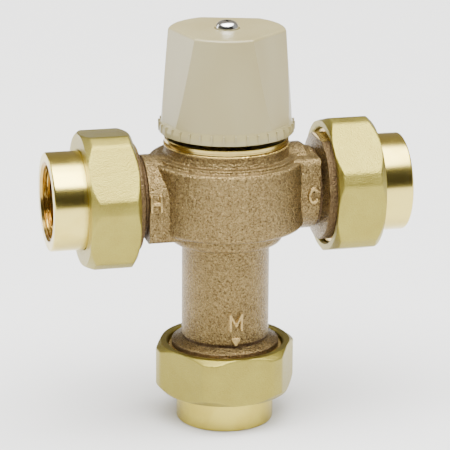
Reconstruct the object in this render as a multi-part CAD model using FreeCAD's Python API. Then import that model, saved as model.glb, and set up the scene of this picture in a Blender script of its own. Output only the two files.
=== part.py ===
"""Three-way wax mixing valve with union ends, standing on its outlet tailpiece.

Lengths are millimetres. Z = 0 is the end face of the outlet tailpiece, the hot inlet points
to -X, the cold inlet to +X, and the knob is on top. Heights named ..._Z and every profile
are measured from the level of the two inlets, and main() lifts each piece to its place.
A union's profile is drawn along +Z as distance out from the valve's centre, and
face_port() turns it to its port.
"""
import FreeCAD
import Part
import math
import os

from FreeCAD import Vector

# --- overall ---------------------------------------------------------------------------
INLET_REACH = 63.7          # valve axis to the end of either inlet tailpiece
OUTLET_DROP = 83.9          # inlet level down to the end of the outlet tailpiece

# --- clearances ------------------------------------------------------------------------
RUN_GAP = 0.05              # radial, between pieces that turn or slide in one another
SEAL_GAP = 0.03             # between an O-ring and each wall of its groove
END_GAP = 0.05              # axial, beside a collar or a ring in its groove
CUT_BEYOND = 1.0            # how far a cutting form runs past what it cuts
SAME_POINT = 1e-6           # corners this close are one

# --- unions ----------------------------------------------------------------------------
NUT_SIDES = 6
NUT_ACROSS_FLATS = 46.0
NUT_CORNER_RADIUS = 25.2    # the forged corners are turned down to this
NUT_FACE_RADIUS = 23.0      # where the end chamfers start
NUT_LENGTH = 17.2
NUT_CHAMFER = 2.3           # outer end
NUT_BACK_CHAMFER = 1.6      # end towards the body
NUT_LIP = 3.4               # end wall that pulls on the tailpiece's flange
NUT_LIP_GAP = 0.2
NUT_MOUTH = 0.5             # chamfer at the thread's mouth
SPIGOT_RADIUS = 20.5        # threaded end of each body port
SPIGOT_SET_IN = 1.5         # spigot's back face, inside the nut's open end
SPIGOT_EDGE = 0.6
HEEL_RADIUS = 19.0          # cast heel between arm or stem and the spigot's thread
INLET_HEEL_SHOWING = 2.1    # heel's rim, out of the nut's open end
OUTLET_HEEL_SHOWING = 0.6
HEEL_RISE = 1.3             # slope of the heel's back
HEEL_EDGE = 0.5
ROOT_GROOVE_WIDTH = 1.0     # groove at the heel's root
ROOT_GROOVE_DEPTH = 0.9
ROOT_GROOVE_ROUND = 0.3
TAIL_RADIUS = 17.25
TAIL_SHOWING = 11.7         # tailpiece beyond the nut
TAIL_FLANGE = 2.8
TAIL_EDGE = 0.8
TAIL_FLANGE_EDGE = 0.4
TAIL_BORE_RADIUS = 10.6
PIPE_THREAD_RADIUS = 13.0
PIPE_THREAD_DEPTH = 13.5
PIPE_MOUTH = 0.8
PIPE_RUNOUT = 1.2           # cone from the thread down to the bore
GASKET_THICKNESS = 1.8
GASKET_RIM = 1.6            # gasket's outer edge, inside the spigot's
GASKET_BORE_GAP = 0.4       # gasket's bore around the screen's rim or the outlet

# --- body casting ----------------------------------------------------------------------
DRUM_RADIUS = 27.5
DRUM_TOP_Z = 12.8
DRUM_BOTTOM_Z = -11.5
DRUM_WALL = 3.0
DRUM_TOP_ROUND = 3.0
DRUM_FOOT_ROUND = 1.6
NECK_FOOT_RADIUS = 24.8
NECK_FOOT_HEIGHT = 1.2
NECK_RADIUS = 22.2
NECK_WAIST = 0.5            # how far the neck draws in between foot and lip
NECK_WAIST_ROUND = 2.0
NECK_EDGE = 0.4
NECK_FOOT_EDGE = 0.5
NECK_ROOT_ROUND = 0.8
NECK_TOP_Z = 18.2
STEP_RADIUS = 20.2          # ring between drum and outlet stem
STEP_HEIGHT = 5.9
STEP_ROUND = 2.4
STEP_ROOT_ROUND = 1.0
STEM_RADIUS = 15.45
STEM_ROOT_ROUND = 1.2
ARM_RADIUS = 14.6
ARM_BORE_RADIUS = 10.6
ARM_BORE_ROOM = 0.7         # beyond the open poppet's stem
SHOULDER_RISE = 1.7         # arm's root is fuller towards the gallery it feeds
SHOULDER_REACH = 26.8
SHOULDER_TAPER = 2.4        # slope at its end, down to the arm
SHOULDER_ROUND = 1.5
PAD_HEIGHT = 13.6           # square-cornered front of each arm, on its gallery's side
PAD_FRONT = 14.5
PAD_ROUND = 2.2
WEB_THICKNESS = 3.0         # wall between the two galleries
GALLERY_ROUND = 1.4
PORT_WIDTH = 15.0           # cored passage from arm to gallery
PORT_MARGIN = 0.7
STEM_BORE_RADIUS = 12.0
STEM_BORE_DEPTH = 25.5      # below the lower seat
OUTLET_BORE_RADIUS = 10.4

# --- bonnet ----------------------------------------------------------------------------
BONNET_FLANGE_RADIUS = 21.8
BONNET_FLANGE = 2.2
BONNET_FLANGE_EDGE = 0.3
BONNET_UNDERCUT = 0.7       # height and depth of the relief under the flange
BONNET_LEAD = 1.0           # cone from the nose out to the thread
BONNET_THREAD_RADIUS = 17.5
BONNET_NOSE_RADIUS = 16.5
BONNET_NOSE = 1.8           # how far the nose, which is the upper seat, enters the gallery
BONNET_ROOF = 3.7
BONNET_BOSS_RADIUS = 9.0
BONNET_BOSS = 7.3
BONNET_BOSS_EDGE = 0.6
BONNET_BOSS_ROOT = 1.0
BONNET_SPANNER_HOLES = 4
SPANNER_HOLE_RADIUS = 1.5
SPANNER_HOLE_PITCH_RADIUS = 14.0
SPANNER_HOLE_DEPTH = 1.6
BONNET_RING_SECTION = 2.0   # groove depth for the bonnet's O-ring
BONNET_RING_WIDTH = 2.6
BONNET_RING_RISE = 2.0      # groove above the bonnet's nose

# --- spindle ---------------------------------------------------------------------------
SPINDLE_RADIUS = 5.0
SPINDLE_THREAD_RADIUS = 4.0
SPINDLE_THREAD_LENGTH = 9.5
SPINDLE_POINT = 0.6
COLLAR_RADIUS = 7.1
COLLAR_THICKNESS = 2.0
SPINDLE_GROOVE_DEPTH = 1.4
SPINDLE_GROOVE_WIDTH = 1.9
SPINDLE_GROOVE_RISES = (1.6, 5.0)   # above the collar
CIRCLIP_THICKNESS = 0.9
CIRCLIP_WIDTH = 2.4
CIRCLIP_DEPTH = 0.8
CIRCLIP_MOUTH = 60.0        # degrees left open
SPLINE_RADIUS = 4.6
SPLINE_DEPTH = 0.5
SPLINE_TEETH = 12
SPLINE_LENGTH = 21.0

# --- knob ------------------------------------------------------------------------------
KNOB_LIFT = 4.1             # rim's lower edge above the body's neck
KNOB_HEIGHT = 36.1
KNOB_RIM_RADIUS = 23.57
KNOB_RIM_HEIGHT = 4.0
KNOB_RIM_ROUND = 0.3
KNOB_RIM_FLARE = 2.2        # slope from the wall out to the rim
KNOB_FOOT_RADIUS = 22.8
KNOB_TOP_RADIUS = 20.36
KNOB_TOP_ROUND = 1.1
KNOB_WALL = 2.2
KNOB_FLATS = 3
KNOB_FLAT_ANGLE = -47.0     # direction of the first flat's middle, in degrees from +X
KNOB_FLAT_FOOT = 22.2       # flat to axis, at the rim and at the top
KNOB_FLAT_TOP = 17.5
KNOB_RIBS = 36
KNOB_RIB_ANGLE = 4.1        # direction of the first rib
KNOB_RIB_WIDTH = 0.55
KNOB_RIB_HEIGHT = 2.9
KNOB_RIB_DROP = 0.5         # rib's top, below the rim's
KNOB_RIB_PROUD = 0.3
KNOB_HUB_RADIUS = 7.4
KNOB_HUB_LENGTH = 24.5
KNOB_WEBS = 3
KNOB_WEB_THICKNESS = 1.6
KNOB_WEB_HEIGHT = 14.0
SCREW_HEAD_RADIUS = 4.0
SCREW_HEAD_HEIGHT = 3.2
SCREW_HEAD_ROUND = 2.6
SCREW_PROUD = 2.6
SCREW_RADIUS = 2.0
SCREW_LENGTH = 14.0
SCREW_POINT = 0.4
SCREW_RECESS_GAP = 0.5
SCREW_SLOT_LENGTH = 3.0     # crossed slots in the head
SCREW_SLOT_WIDTH = 0.7
SCREW_SLOT_DEPTH = 1.3

# --- carrier and overload spring -------------------------------------------------------
WIRE_SIDES = 6              # every spring's wire is drawn with so many flats
CARRIER_RADIUS = 10.9
CARRIER_LENGTH = 17.0
CARRIER_HEAD = 4.5
CARRIER_EDGE = 0.5
CARRIER_POCKET_RADIUS = 8.4
CARRIER_POCKET_ROUND = 0.6
CARRIER_TRAVEL = 0.75       # each way, for the knob's three quarters of a turn each way
CARRIER_KEY_WIDTH = 4.0
CARRIER_KEY_HEIGHT = 1.1
SNAP_RING_THICKNESS = 0.8
SNAP_RING_INSET = 0.8
SNAP_RING_DEPTH = 0.7
SNAP_RING_WIDTH = 1.7
SNAP_RING_MOUTH = 50.0
CUP_FLANGE = 1.4
CUP_CROWN_RADIUS = 3.6
CUP_CROWN_HEIGHT = 3.5
CUP_ROOF = 1.3
CUP_EDGE = 0.3
CUP_CROWN_ROUND = 0.8
OVERLOAD_COIL_RADIUS = 6.3
OVERLOAD_WIRE = 1.4
OVERLOAD_TURNS = 3.0

# --- shuttle and element ---------------------------------------------------------------
SHUTTLE_RADIUS = 14.9
SHUTTLE_WALL = 2.0
SEAT_OPENING = 1.55         # under and over the shuttle, at rest
SHUTTLE_HUB_RADIUS = 6.4
SHUTTLE_HUB_HEIGHT = 3.0
SHUTTLE_SPOKES = 4
SHUTTLE_SPOKE_WIDTH = 3.2
SHUTTLE_RING_SECTION = 1.6
ELEMENT_RADIUS = 4.5
ELEMENT_LENGTH = 22.0
ELEMENT_TIP_ROUND = 2.0
ELEMENT_FLANGE_RADIUS = 6.0
ELEMENT_FLANGE = 1.4
ELEMENT_EDGE = 0.4
ELEMENT_GUIDE_RADIUS = 3.0
ELEMENT_GUIDE = 2.1
PIN_RADIUS = 1.4
PIN_HIDDEN = 3.5            # pin inside the guide
PIN_STROKE_ROOM = 1.0
PIN_EDGE = 0.3
SEAT_RING_THICKNESS = 2.0
SEAT_RING_BORE_RADIUS = 6.8
RETURN_COIL_RADIUS = 8.6
RETURN_WIRE = 1.5
RETURN_TURNS = 4.5

# --- check valves and screens ----------------------------------------------------------
CHECK_HEAD_RADIUS = 12.4
CHECK_HEAD = 1.6
CHECK_RADIUS = 10.5
CHECK_BORE_RADIUS = 8.8
CHECK_LENGTH = 13.2
CHECK_SPIDER = 1.6
CHECK_SPIDER_HOLES = 6
CHECK_HOLE_RADIUS = 2.0
CHECK_HOLE_PITCH_RADIUS = 5.9
CHECK_SEAT_RADIUS = 6.4
CHECK_SEAT_DEPTH = 3.4      # from the cartridge's face to its seat
CHECK_SEAT_LAND = 1.0
CHECK_EDGE = 0.6
CHECK_GROOVE_DEPTH = 1.2
CHECK_GROOVE_WIDTH = 1.7
CHECK_GROOVE_INSET = 4.6
POPPET_RADIUS = 7.8
POPPET_THICKNESS = 1.2
POPPET_NOSE_RADIUS = 5.6
POPPET_NOSE = 2.2
POPPET_NOSE_ROUND = 1.2
POPPET_EDGE = 0.4
POPPET_LIFT = 2.8           # how far it opens
POPPET_STEM_RADIUS = 1.5
POPPET_STEM_BEYOND = 0.3
CHECK_SEAL_THICKNESS = 0.8
CHECK_COIL_RADIUS = 2.9
CHECK_WIRE = 0.7
CHECK_TURNS = 3.0
SCREEN_THICKNESS = 0.4
SCREEN_RIM = 1.5
SCREEN_DEPTH = 3.6
SCREEN_INSET = 0.5          # dish's mouth, inside the tailpiece's bore
SCREEN_TAPER = 1.8          # how much narrower the dish's floor is
SCREEN_ROUND = 1.2
SCREEN_RIM_ROUND = 0.3
SCREEN_HOLE_RADIUS = 1.05
SCREEN_HOLE_RINGS = ((0.0, 1), (3.5, 6), (7.0, 12))

# --- worked out from the above ---------------------------------------------------------
UPPER_SEAT_Z = DRUM_TOP_Z - DRUM_WALL - BONNET_NOSE
LOWER_SEAT_Z = DRUM_BOTTOM_Z + DRUM_WALL
WEB_Z = (UPPER_SEAT_Z + LOWER_SEAT_Z) / 2
GALLERY_TOP_Z = DRUM_TOP_Z - DRUM_WALL
BONNET_TOP_Z = NECK_TOP_Z + BONNET_FLANGE
CAVITY_ROOF_Z = BONNET_TOP_Z - BONNET_ROOF
COLLAR_TOP_Z = CAVITY_ROOF_Z + COLLAR_THICKNESS + END_GAP
BOSS_TOP_Z = BONNET_TOP_Z + BONNET_BOSS
CAVITY_RADIUS = CARRIER_RADIUS + RUN_GAP
SHUTTLE_BOTTOM_Z = LOWER_SEAT_Z + SEAT_OPENING
SHUTTLE_TOP_Z = UPPER_SEAT_Z - SEAT_OPENING
CARRIER_TOP_Z = CAVITY_ROOF_Z - CARRIER_TRAVEL - END_GAP
CARRIER_BOTTOM_Z = CARRIER_TOP_Z - CARRIER_LENGTH
SNAP_RING_Z = CARRIER_BOTTOM_Z + SNAP_RING_INSET
CUP_Z = SNAP_RING_Z + SNAP_RING_THICKNESS
HUB_TOP_Z = SHUTTLE_BOTTOM_Z + SHUTTLE_HUB_HEIGHT
GUIDE_TOP_Z = HUB_TOP_Z + ELEMENT_FLANGE + ELEMENT_GUIDE
LEDGE_Z = LOWER_SEAT_Z - STEM_BORE_DEPTH
KNOB_BOTTOM_Z = NECK_TOP_Z + KNOB_LIFT
KNOB_TOP_Z = KNOB_BOTTOM_Z + KNOB_HEIGHT
SCREW_SEAT_Z = KNOB_TOP_Z + SCREW_PROUD - SCREW_HEAD_HEIGHT
HUB_BOTTOM_Z = KNOB_TOP_Z - KNOB_WALL - KNOB_HUB_LENGTH
SPINDLE_TOP_Z = HUB_BOTTOM_Z + SPLINE_LENGTH


class Port:
    """One of the three ports: its name, how it faces, its reach and its nut's turn."""

    def __init__(self, name, tilt, reach, nut_turn, heel_showing):
        self.name = name
        self.tilt = tilt                            # degrees about Y that take +Z outward
        self.nut_turn = nut_turn                    # degrees
        self.end = reach
        self.nut_outer = reach - TAIL_SHOWING
        self.nut_inner = self.nut_outer - NUT_LENGTH
        self.lip = self.nut_outer - NUT_LIP
        self.flange = self.lip - TAIL_FLANGE
        self.face = self.flange - GASKET_THICKNESS  # the spigot's sealing face
        self.spigot = self.nut_inner + SPIGOT_SET_IN
        self.heel = self.nut_inner - heel_showing
        self.heel_foot = self.heel - HEEL_RISE
        self.root = self.heel_foot - ROOT_GROOVE_WIDTH
        self.bore_end = (self.face - CHECK_LENGTH - POPPET_STEM_BEYOND - POPPET_LIFT
                         - ARM_BORE_ROOM)

    def heel_corners(self, radius):
        """Outline from an arm or stem of a given radius out to the spigot's face."""
        floor = radius - ROOT_GROOVE_DEPTH
        return [
            (radius, self.root, ROOT_GROOVE_ROUND), (floor, self.root, ROOT_GROOVE_ROUND),
            (floor, self.heel_foot, ROOT_GROOVE_ROUND), (HEEL_RADIUS, self.heel, HEEL_EDGE),
            (HEEL_RADIUS, self.spigot), (SPIGOT_RADIUS, self.spigot, SPIGOT_EDGE),
            (SPIGOT_RADIUS, self.face),
        ]


HOT = Port("hot", -90, INLET_REACH, 6.7, INLET_HEEL_SHOWING)
COLD = Port("cold", 90, INLET_REACH, -18.9, INLET_HEEL_SHOWING)
OUTLET = Port("outlet", 180, OUTLET_DROP, 25.5, OUTLET_HEEL_SHOWING)


# --- drawing helpers -------------------------------------------------------------------
def outline(corners):
    """Closed face in the XZ plane through (x, z) or (x, z, round) corners."""
    points = [Vector(corner[0], 0, corner[1]) for corner in corners]
    count = len(points)
    spans = []
    for i, corner in enumerate(corners):
        here = points[i]
        if len(corner) == 2:
            spans.append((here, here, here))
            continue
        back, ahead = points[i - 1] - here, points[(i + 1) % count] - here
        half = back.getAngle(ahead) / 2
        reach = corner[2] / math.tan(half)
        for side, neighbour in ((back, i - 1), (ahead, (i + 1) % count)):
            share = 0.49 if len(corners[neighbour]) == 3 else 0.98
            reach = min(reach, share * side.Length)
        radius = reach * math.tan(half)
        back.normalize()
        ahead.normalize()
        inward = (back + ahead).normalize()
        middle = here + inward * (radius / math.sin(half) - radius)
        spans.append((here + back * reach, middle, here + ahead * reach))
    edges = []
    for i, (start, middle, end) in enumerate(spans):
        if start.distanceToPoint(end) > SAME_POINT:
            edges.append(Part.Arc(start, middle, end).toShape())
        following = spans[(i + 1) % count][0]
        if end.distanceToPoint(following) > SAME_POINT:
            edges.append(Part.makeLine(end, following))
    return Part.Face(Part.Wire(edges))


def turned(corners):
    """Solid of revolution about Z of an outline of (radius, height, round) corners."""
    return outline(corners).revolve(Vector(0, 0, 0), Vector(0, 0, 1), 360)


def cylinder(radius, low, high, x=0.0, y=0.0):
    return Part.makeCylinder(radius, high - low, Vector(x, y, low))


def ring(outer, inner, low, high):
    return turned([(inner, low), (outer, low), (outer, high), (inner, high)])


def block(x, y, z):
    """Box between pairs of limits."""
    return Part.makeBox(x[1] - x[0], y[1] - y[0], z[1] - z[0], Vector(x[0], y[0], z[0]))


def turn(shape, degrees, axis=Vector(0, 0, 1)):
    moved = shape.copy()
    moved.rotate(Vector(0, 0, 0), axis, degrees)
    return moved


def shift(shape, x=0.0, y=0.0, z=0.0):
    moved = shape.copy()
    moved.translate(Vector(x, y, z))
    return moved


def around(shape, count, first=0.0):
    """The shape repeated evenly about Z, from a first angle in degrees."""
    return [turn(shape, first + 360.0 * i / count) for i in range(count)]


def face_port(shape, port):
    """Turn a shape drawn along +Z so that it points out of a port."""
    return turn(shape, port.tilt, Vector(0, 1, 0))


def o_ring(inner, outer, z):
    """O-ring that fills the space between a groove's floor and the wall around it."""
    section = (outer - inner) / 2 - SEAL_GAP
    return Part.makeTorus((outer + inner) / 2, section, Vector(0, 0, z))


def open_ring(outer, inner, low, high, mouth):
    """Retaining ring with a gap of so many degrees towards +X."""
    gap = Part.makeCylinder(2 * outer, high - low, Vector(0, 0, low), Vector(0, 0, 1), mouth)
    return ring(outer, inner, low, high).cut(turn(gap, -mouth / 2))


def coil(radius, wire, low, high, turns):
    """Compression spring of six-sided wire between two seats."""
    rise = high - low - wire
    path = Part.makeHelix(rise / turns, rise, radius)
    corners = [turn(Part.Vertex(wire / 2, 0, 0), 360.0 / WIRE_SIDES * i, Vector(0, 1, 0)).Point
               for i in range(WIRE_SIDES)]
    section = Part.makePolygon([point + Vector(radius, 0, 0) for point in corners + corners[:1]])
    spring = Part.Wire(path.Edges).makePipeShell([section], True, True)
    return shift(spring, z=low + wire / 2)


# --- body casting ----------------------------------------------------------------------
def body_column():
    """Drum, neck, step ring and outlet stem with its spigot, as one turned form."""
    foot_top = DRUM_TOP_Z + NECK_FOOT_HEIGHT
    waist = (foot_top + NECK_TOP_Z) / 2
    step = DRUM_BOTTOM_Z - STEP_HEIGHT
    return turned([
        (0, NECK_TOP_Z),
        (NECK_RADIUS, NECK_TOP_Z, NECK_EDGE),
        (NECK_RADIUS - NECK_WAIST, waist, NECK_WAIST_ROUND),
        (NECK_RADIUS, foot_top, NECK_ROOT_ROUND),
        (NECK_FOOT_RADIUS, foot_top, NECK_FOOT_EDGE),
        (NECK_FOOT_RADIUS, DRUM_TOP_Z, NECK_FOOT_EDGE),
        (DRUM_RADIUS, DRUM_TOP_Z, DRUM_TOP_ROUND),
        (DRUM_RADIUS, DRUM_BOTTOM_Z, DRUM_FOOT_ROUND),
        (STEP_RADIUS, DRUM_BOTTOM_Z, STEP_ROOT_ROUND),
        (STEP_RADIUS, step, STEP_ROUND),
        (STEM_RADIUS, step, STEM_ROOT_ROUND),
        *((corner[0], -corner[1], *corner[2:]) for corner in OUTLET.heel_corners(STEM_RADIUS)),
        (0, -OUTLET.face),
    ])


def cold_arm():
    """The cold arm with its spigot; half a turn about Y makes the hot one of it."""
    core = turned([(0, 0), (ARM_RADIUS, 0), *COLD.heel_corners(ARM_RADIUS), (0, COLD.face)])
    shoulder = turned([
        (0, 0), (ARM_RADIUS, 0), (ARM_RADIUS, SHOULDER_REACH, SHOULDER_ROUND),
        (ARM_RADIUS - SHOULDER_RISE, SHOULDER_REACH + SHOULDER_TAPER),
        (0, SHOULDER_REACH + SHOULDER_TAPER),
    ])
    shoulder = shift(face_port(shoulder, COLD), z=SHOULDER_RISE)
    section = outline([
        (0, 0), (PAD_FRONT, 0), (PAD_FRONT, PAD_HEIGHT, PAD_ROUND), (0, PAD_HEIGHT),
    ])
    pad = turn(section, -90).extrude(Vector(COLD.root, 0, 0))
    return face_port(core, COLD).fuse([shoulder, pad])


def body_cavity():
    """Neck bore, both galleries, the shuttle's bore and the stem's, as one turned form."""
    gallery = DRUM_RADIUS - DRUM_WALL
    shuttle_bore = SHUTTLE_RADIUS + RUN_GAP
    web_top, web_bottom = WEB_Z + WEB_THICKNESS / 2, WEB_Z - WEB_THICKNESS / 2
    neck_bore = BONNET_THREAD_RADIUS + RUN_GAP
    above, below = NECK_TOP_Z + CUT_BEYOND, -OUTLET.face - CUT_BEYOND
    return turned([
        (0, above), (neck_bore, above), (neck_bore, GALLERY_TOP_Z),
        (gallery, GALLERY_TOP_Z, GALLERY_ROUND), (gallery, web_top, GALLERY_ROUND),
        (shuttle_bore, web_top), (shuttle_bore, web_bottom),
        (gallery, web_bottom, GALLERY_ROUND), (gallery, LOWER_SEAT_Z, GALLERY_ROUND),
        (STEM_BORE_RADIUS, LOWER_SEAT_Z), (STEM_BORE_RADIUS, LEDGE_Z),
        (OUTLET_BORE_RADIUS, LEDGE_Z), (OUTLET_BORE_RADIUS, below), (0, below),
    ])


def inlet_passage(port, low, high):
    """Seat and bore for a check cartridge, and the cored passage on to a gallery."""
    head = CHECK_HEAD_RADIUS + RUN_GAP
    shoulder, beyond = port.face - CHECK_HEAD, port.face + CUT_BEYOND
    bore = turned([
        (0, port.bore_end), (ARM_BORE_RADIUS, port.bore_end), (ARM_BORE_RADIUS, shoulder),
        (head, shoulder), (head, beyond), (0, beyond),
    ])
    inner = DRUM_RADIUS - 2 * DRUM_WALL
    outer = port.bore_end + CUT_BEYOND
    side = 1 if port is COLD else -1
    cored = block(sorted((side * inner, side * outer)), (-PORT_WIDTH / 2, PORT_WIDTH / 2),
                  (low + PORT_MARGIN, high - PORT_MARGIN))
    return face_port(bore, port).fuse(cored)


def valve_body():
    arm = cold_arm()
    form = body_column().fuse([arm, turn(arm, 180, Vector(0, 1, 0))])
    web = (WEB_Z - WEB_THICKNESS / 2, WEB_Z + WEB_THICKNESS / 2)
    return form.cut([
        body_cavity(),
        inlet_passage(HOT, LOWER_SEAT_Z, web[0]),
        inlet_passage(COLD, web[1], GALLERY_TOP_Z),
    ]).removeSplitter()


# --- bonnet and spindle ----------------------------------------------------------------
def bonnet():
    ring_low = UPPER_SEAT_Z + BONNET_NOSE + BONNET_RING_RISE
    ring_high = ring_low + BONNET_RING_WIDTH
    groove = BONNET_THREAD_RADIUS - BONNET_RING_SECTION
    relief = (BONNET_FLANGE_RADIUS - BONNET_UNDERCUT, NECK_TOP_Z + BONNET_UNDERCUT)
    form = turned([
        (CAVITY_RADIUS, UPPER_SEAT_Z), (BONNET_NOSE_RADIUS, UPPER_SEAT_Z),
        (BONNET_NOSE_RADIUS, GALLERY_TOP_Z),
        (BONNET_THREAD_RADIUS, GALLERY_TOP_Z + BONNET_LEAD),
        (BONNET_THREAD_RADIUS, ring_low), (groove, ring_low),
        (groove, ring_high), (BONNET_THREAD_RADIUS, ring_high),
        (BONNET_THREAD_RADIUS, NECK_TOP_Z), (relief[0], NECK_TOP_Z), relief,
        (BONNET_FLANGE_RADIUS, relief[1], BONNET_FLANGE_EDGE),
        (BONNET_FLANGE_RADIUS, BONNET_TOP_Z, BONNET_FLANGE_EDGE),
        (BONNET_BOSS_RADIUS, BONNET_TOP_Z, BONNET_BOSS_ROOT),
        (BONNET_BOSS_RADIUS, BOSS_TOP_Z, BONNET_BOSS_EDGE),
        (SPINDLE_RADIUS + RUN_GAP, BOSS_TOP_Z), (SPINDLE_RADIUS + RUN_GAP, COLLAR_TOP_Z),
        (COLLAR_RADIUS + RUN_GAP, COLLAR_TOP_Z), (COLLAR_RADIUS + RUN_GAP, CAVITY_ROOF_Z),
        (CAVITY_RADIUS, CAVITY_ROOF_Z),
    ])
    reach = CARRIER_RADIUS + CARRIER_KEY_HEIGHT + RUN_GAP
    half = CARRIER_KEY_WIDTH / 2 + RUN_GAP
    keyway = block((CARRIER_RADIUS / 2, reach), (-half, half),
                   (UPPER_SEAT_Z - CUT_BEYOND, CAVITY_ROOF_Z))
    hole = cylinder(SPANNER_HOLE_RADIUS, BONNET_TOP_Z - SPANNER_HOLE_DEPTH,
                    BONNET_TOP_Z + CUT_BEYOND, x=SPANNER_HOLE_PITCH_RADIUS)
    return form.cut(around(keyway, 2) + around(hole, BONNET_SPANNER_HOLES))


def bonnet_o_ring():
    ring_low = UPPER_SEAT_Z + BONNET_NOSE + BONNET_RING_RISE
    return o_ring(BONNET_THREAD_RADIUS - BONNET_RING_SECTION, BONNET_THREAD_RADIUS + RUN_GAP,
                  ring_low + BONNET_RING_WIDTH / 2)


def spline(gap):
    """Splined bar as long as the knob's hub, grown by a gap for the bore that takes it."""
    foot = HUB_BOTTOM_Z - CUT_BEYOND
    tooth_room = cylinder(SPLINE_DEPTH - gap, foot - CUT_BEYOND, SPINDLE_TOP_Z + CUT_BEYOND,
                          x=SPLINE_RADIUS + gap)
    bar = cylinder(SPLINE_RADIUS + gap, foot, SPINDLE_TOP_Z + gap)
    return bar.cut(around(tooth_room, SPLINE_TEETH))


def adjusting_spindle():
    collar_top = COLLAR_TOP_Z - END_GAP
    collar_bottom = collar_top - COLLAR_THICKNESS
    groove = SPINDLE_RADIUS - SPINDLE_GROOVE_DEPTH
    clip_low = BOSS_TOP_Z + END_GAP
    clip_high = clip_low + CIRCLIP_THICKNESS + END_GAP
    clip_floor = SPINDLE_RADIUS - CIRCLIP_DEPTH
    tip = collar_bottom - SPINDLE_THREAD_LENGTH
    shaft_top = HUB_BOTTOM_Z - CUT_BEYOND
    profile = [
        (0, tip), (SPINDLE_THREAD_RADIUS - SPINDLE_POINT, tip),
        (SPINDLE_THREAD_RADIUS, tip + SPINDLE_POINT),
        (SPINDLE_THREAD_RADIUS, collar_bottom), (COLLAR_RADIUS, collar_bottom),
        (COLLAR_RADIUS, collar_top), (SPINDLE_RADIUS, collar_top),
    ]
    for rise in SPINDLE_GROOVE_RISES:
        low = collar_top + rise
        high = low + SPINDLE_GROOVE_WIDTH
        profile += [(SPINDLE_RADIUS, low), (groove, low), (groove, high), (SPINDLE_RADIUS, high)]
    profile += [
        (SPINDLE_RADIUS, clip_low), (clip_floor, clip_low), (clip_floor, clip_high),
        (SPINDLE_RADIUS, clip_high), (SPINDLE_RADIUS, shaft_top), (0, shaft_top),
    ]
    tapped = cylinder(SCREW_RADIUS + RUN_GAP, SCREW_SEAT_Z - SCREW_LENGTH - CUT_BEYOND,
                      SPINDLE_TOP_Z + CUT_BEYOND)
    return turned(profile).fuse(spline(0.0)).cut(tapped)


def spindle_o_ring(rise):
    middle = COLLAR_TOP_Z - END_GAP + rise + SPINDLE_GROOVE_WIDTH / 2
    return o_ring(SPINDLE_RADIUS - SPINDLE_GROOVE_DEPTH, SPINDLE_RADIUS + RUN_GAP, middle)


def spindle_circlip():
    low = BOSS_TOP_Z + END_GAP
    inner = SPINDLE_RADIUS - CIRCLIP_DEPTH
    return open_ring(inner + CIRCLIP_WIDTH, inner, low, low + CIRCLIP_THICKNESS, CIRCLIP_MOUTH)


# --- knob ------------------------------------------------------------------------------
def knob_form(inset):
    """The knob's tapered form with its flats, drawn in by a wall thickness."""
    low = KNOB_BOTTOM_Z - inset
    high = KNOB_TOP_Z - inset
    foot = KNOB_BOTTOM_Z + KNOB_RIM_HEIGHT
    form = turned([
        (0, low), (KNOB_FOOT_RADIUS - inset, low), (KNOB_FOOT_RADIUS - inset, foot),
        (KNOB_TOP_RADIUS - inset, high), (0, high),
    ])
    lean = (KNOB_FLAT_FOOT - KNOB_FLAT_TOP) / (KNOB_TOP_Z - foot)
    above = high + KNOB_WALL
    far = 2 * KNOB_RIM_RADIUS
    section = outline([
        (KNOB_FLAT_FOOT - inset, foot), (far, foot), (far, above),
        (KNOB_FLAT_FOOT - inset - lean * (above - foot), above),
    ])
    flat = shift(section, y=-far / 2).extrude(Vector(0, far, 0))
    return form.cut(around(flat, KNOB_FLATS, KNOB_FLAT_ANGLE))


def level_edges(shape, z):
    return [edge for edge in shape.Edges
            if all(abs(vertex.Z - z) < 1e-4 for vertex in edge.Vertexes)]


def temperature_knob():
    form = knob_form(0)
    form = form.makeFillet(KNOB_TOP_ROUND, level_edges(form, KNOB_TOP_Z))
    foot = KNOB_BOTTOM_Z + KNOB_RIM_HEIGHT
    rim = turned([
        (KNOB_FOOT_RADIUS - KNOB_WALL, KNOB_BOTTOM_Z),
        (KNOB_RIM_RADIUS, KNOB_BOTTOM_Z, KNOB_RIM_ROUND),
        (KNOB_RIM_RADIUS, foot - KNOB_RIM_FLARE, KNOB_RIM_FLARE),
        (KNOB_FOOT_RADIUS, foot), (KNOB_FOOT_RADIUS - KNOB_WALL, foot),
    ])
    rib = block((KNOB_FOOT_RADIUS, KNOB_RIM_RADIUS + KNOB_RIB_PROUD),
                (-KNOB_RIB_WIDTH / 2, KNOB_RIB_WIDTH / 2),
                (foot - KNOB_RIB_DROP - KNOB_RIB_HEIGHT, foot - KNOB_RIB_DROP))
    shell = form.fuse(rim).cut(knob_form(KNOB_WALL))
    inside = knob_form(KNOB_WALL / 2)
    roof = KNOB_TOP_Z - KNOB_WALL / 2
    web_low = KNOB_TOP_Z - KNOB_WALL - KNOB_WEB_HEIGHT
    web = block((0, KNOB_FOOT_RADIUS), (-KNOB_WEB_THICKNESS / 2, KNOB_WEB_THICKNESS / 2),
                (web_low, roof))
    webs = [piece.common(inside) for piece in around(web, KNOB_WEBS, KNOB_FLAT_ANGLE)]
    hub = cylinder(KNOB_HUB_RADIUS, HUB_BOTTOM_Z, roof)
    solid = shell.fuse([hub] + webs + around(rib, KNOB_RIBS, KNOB_RIB_ANGLE))
    screw_hole = cylinder(SCREW_RADIUS + SCREW_RECESS_GAP, SPINDLE_TOP_Z, KNOB_TOP_Z)
    recess = cylinder(SCREW_HEAD_RADIUS + SCREW_RECESS_GAP, SCREW_SEAT_Z,
                      KNOB_TOP_Z + CUT_BEYOND)
    return solid.cut([spline(RUN_GAP), screw_hole, recess]).removeSplitter()


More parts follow.
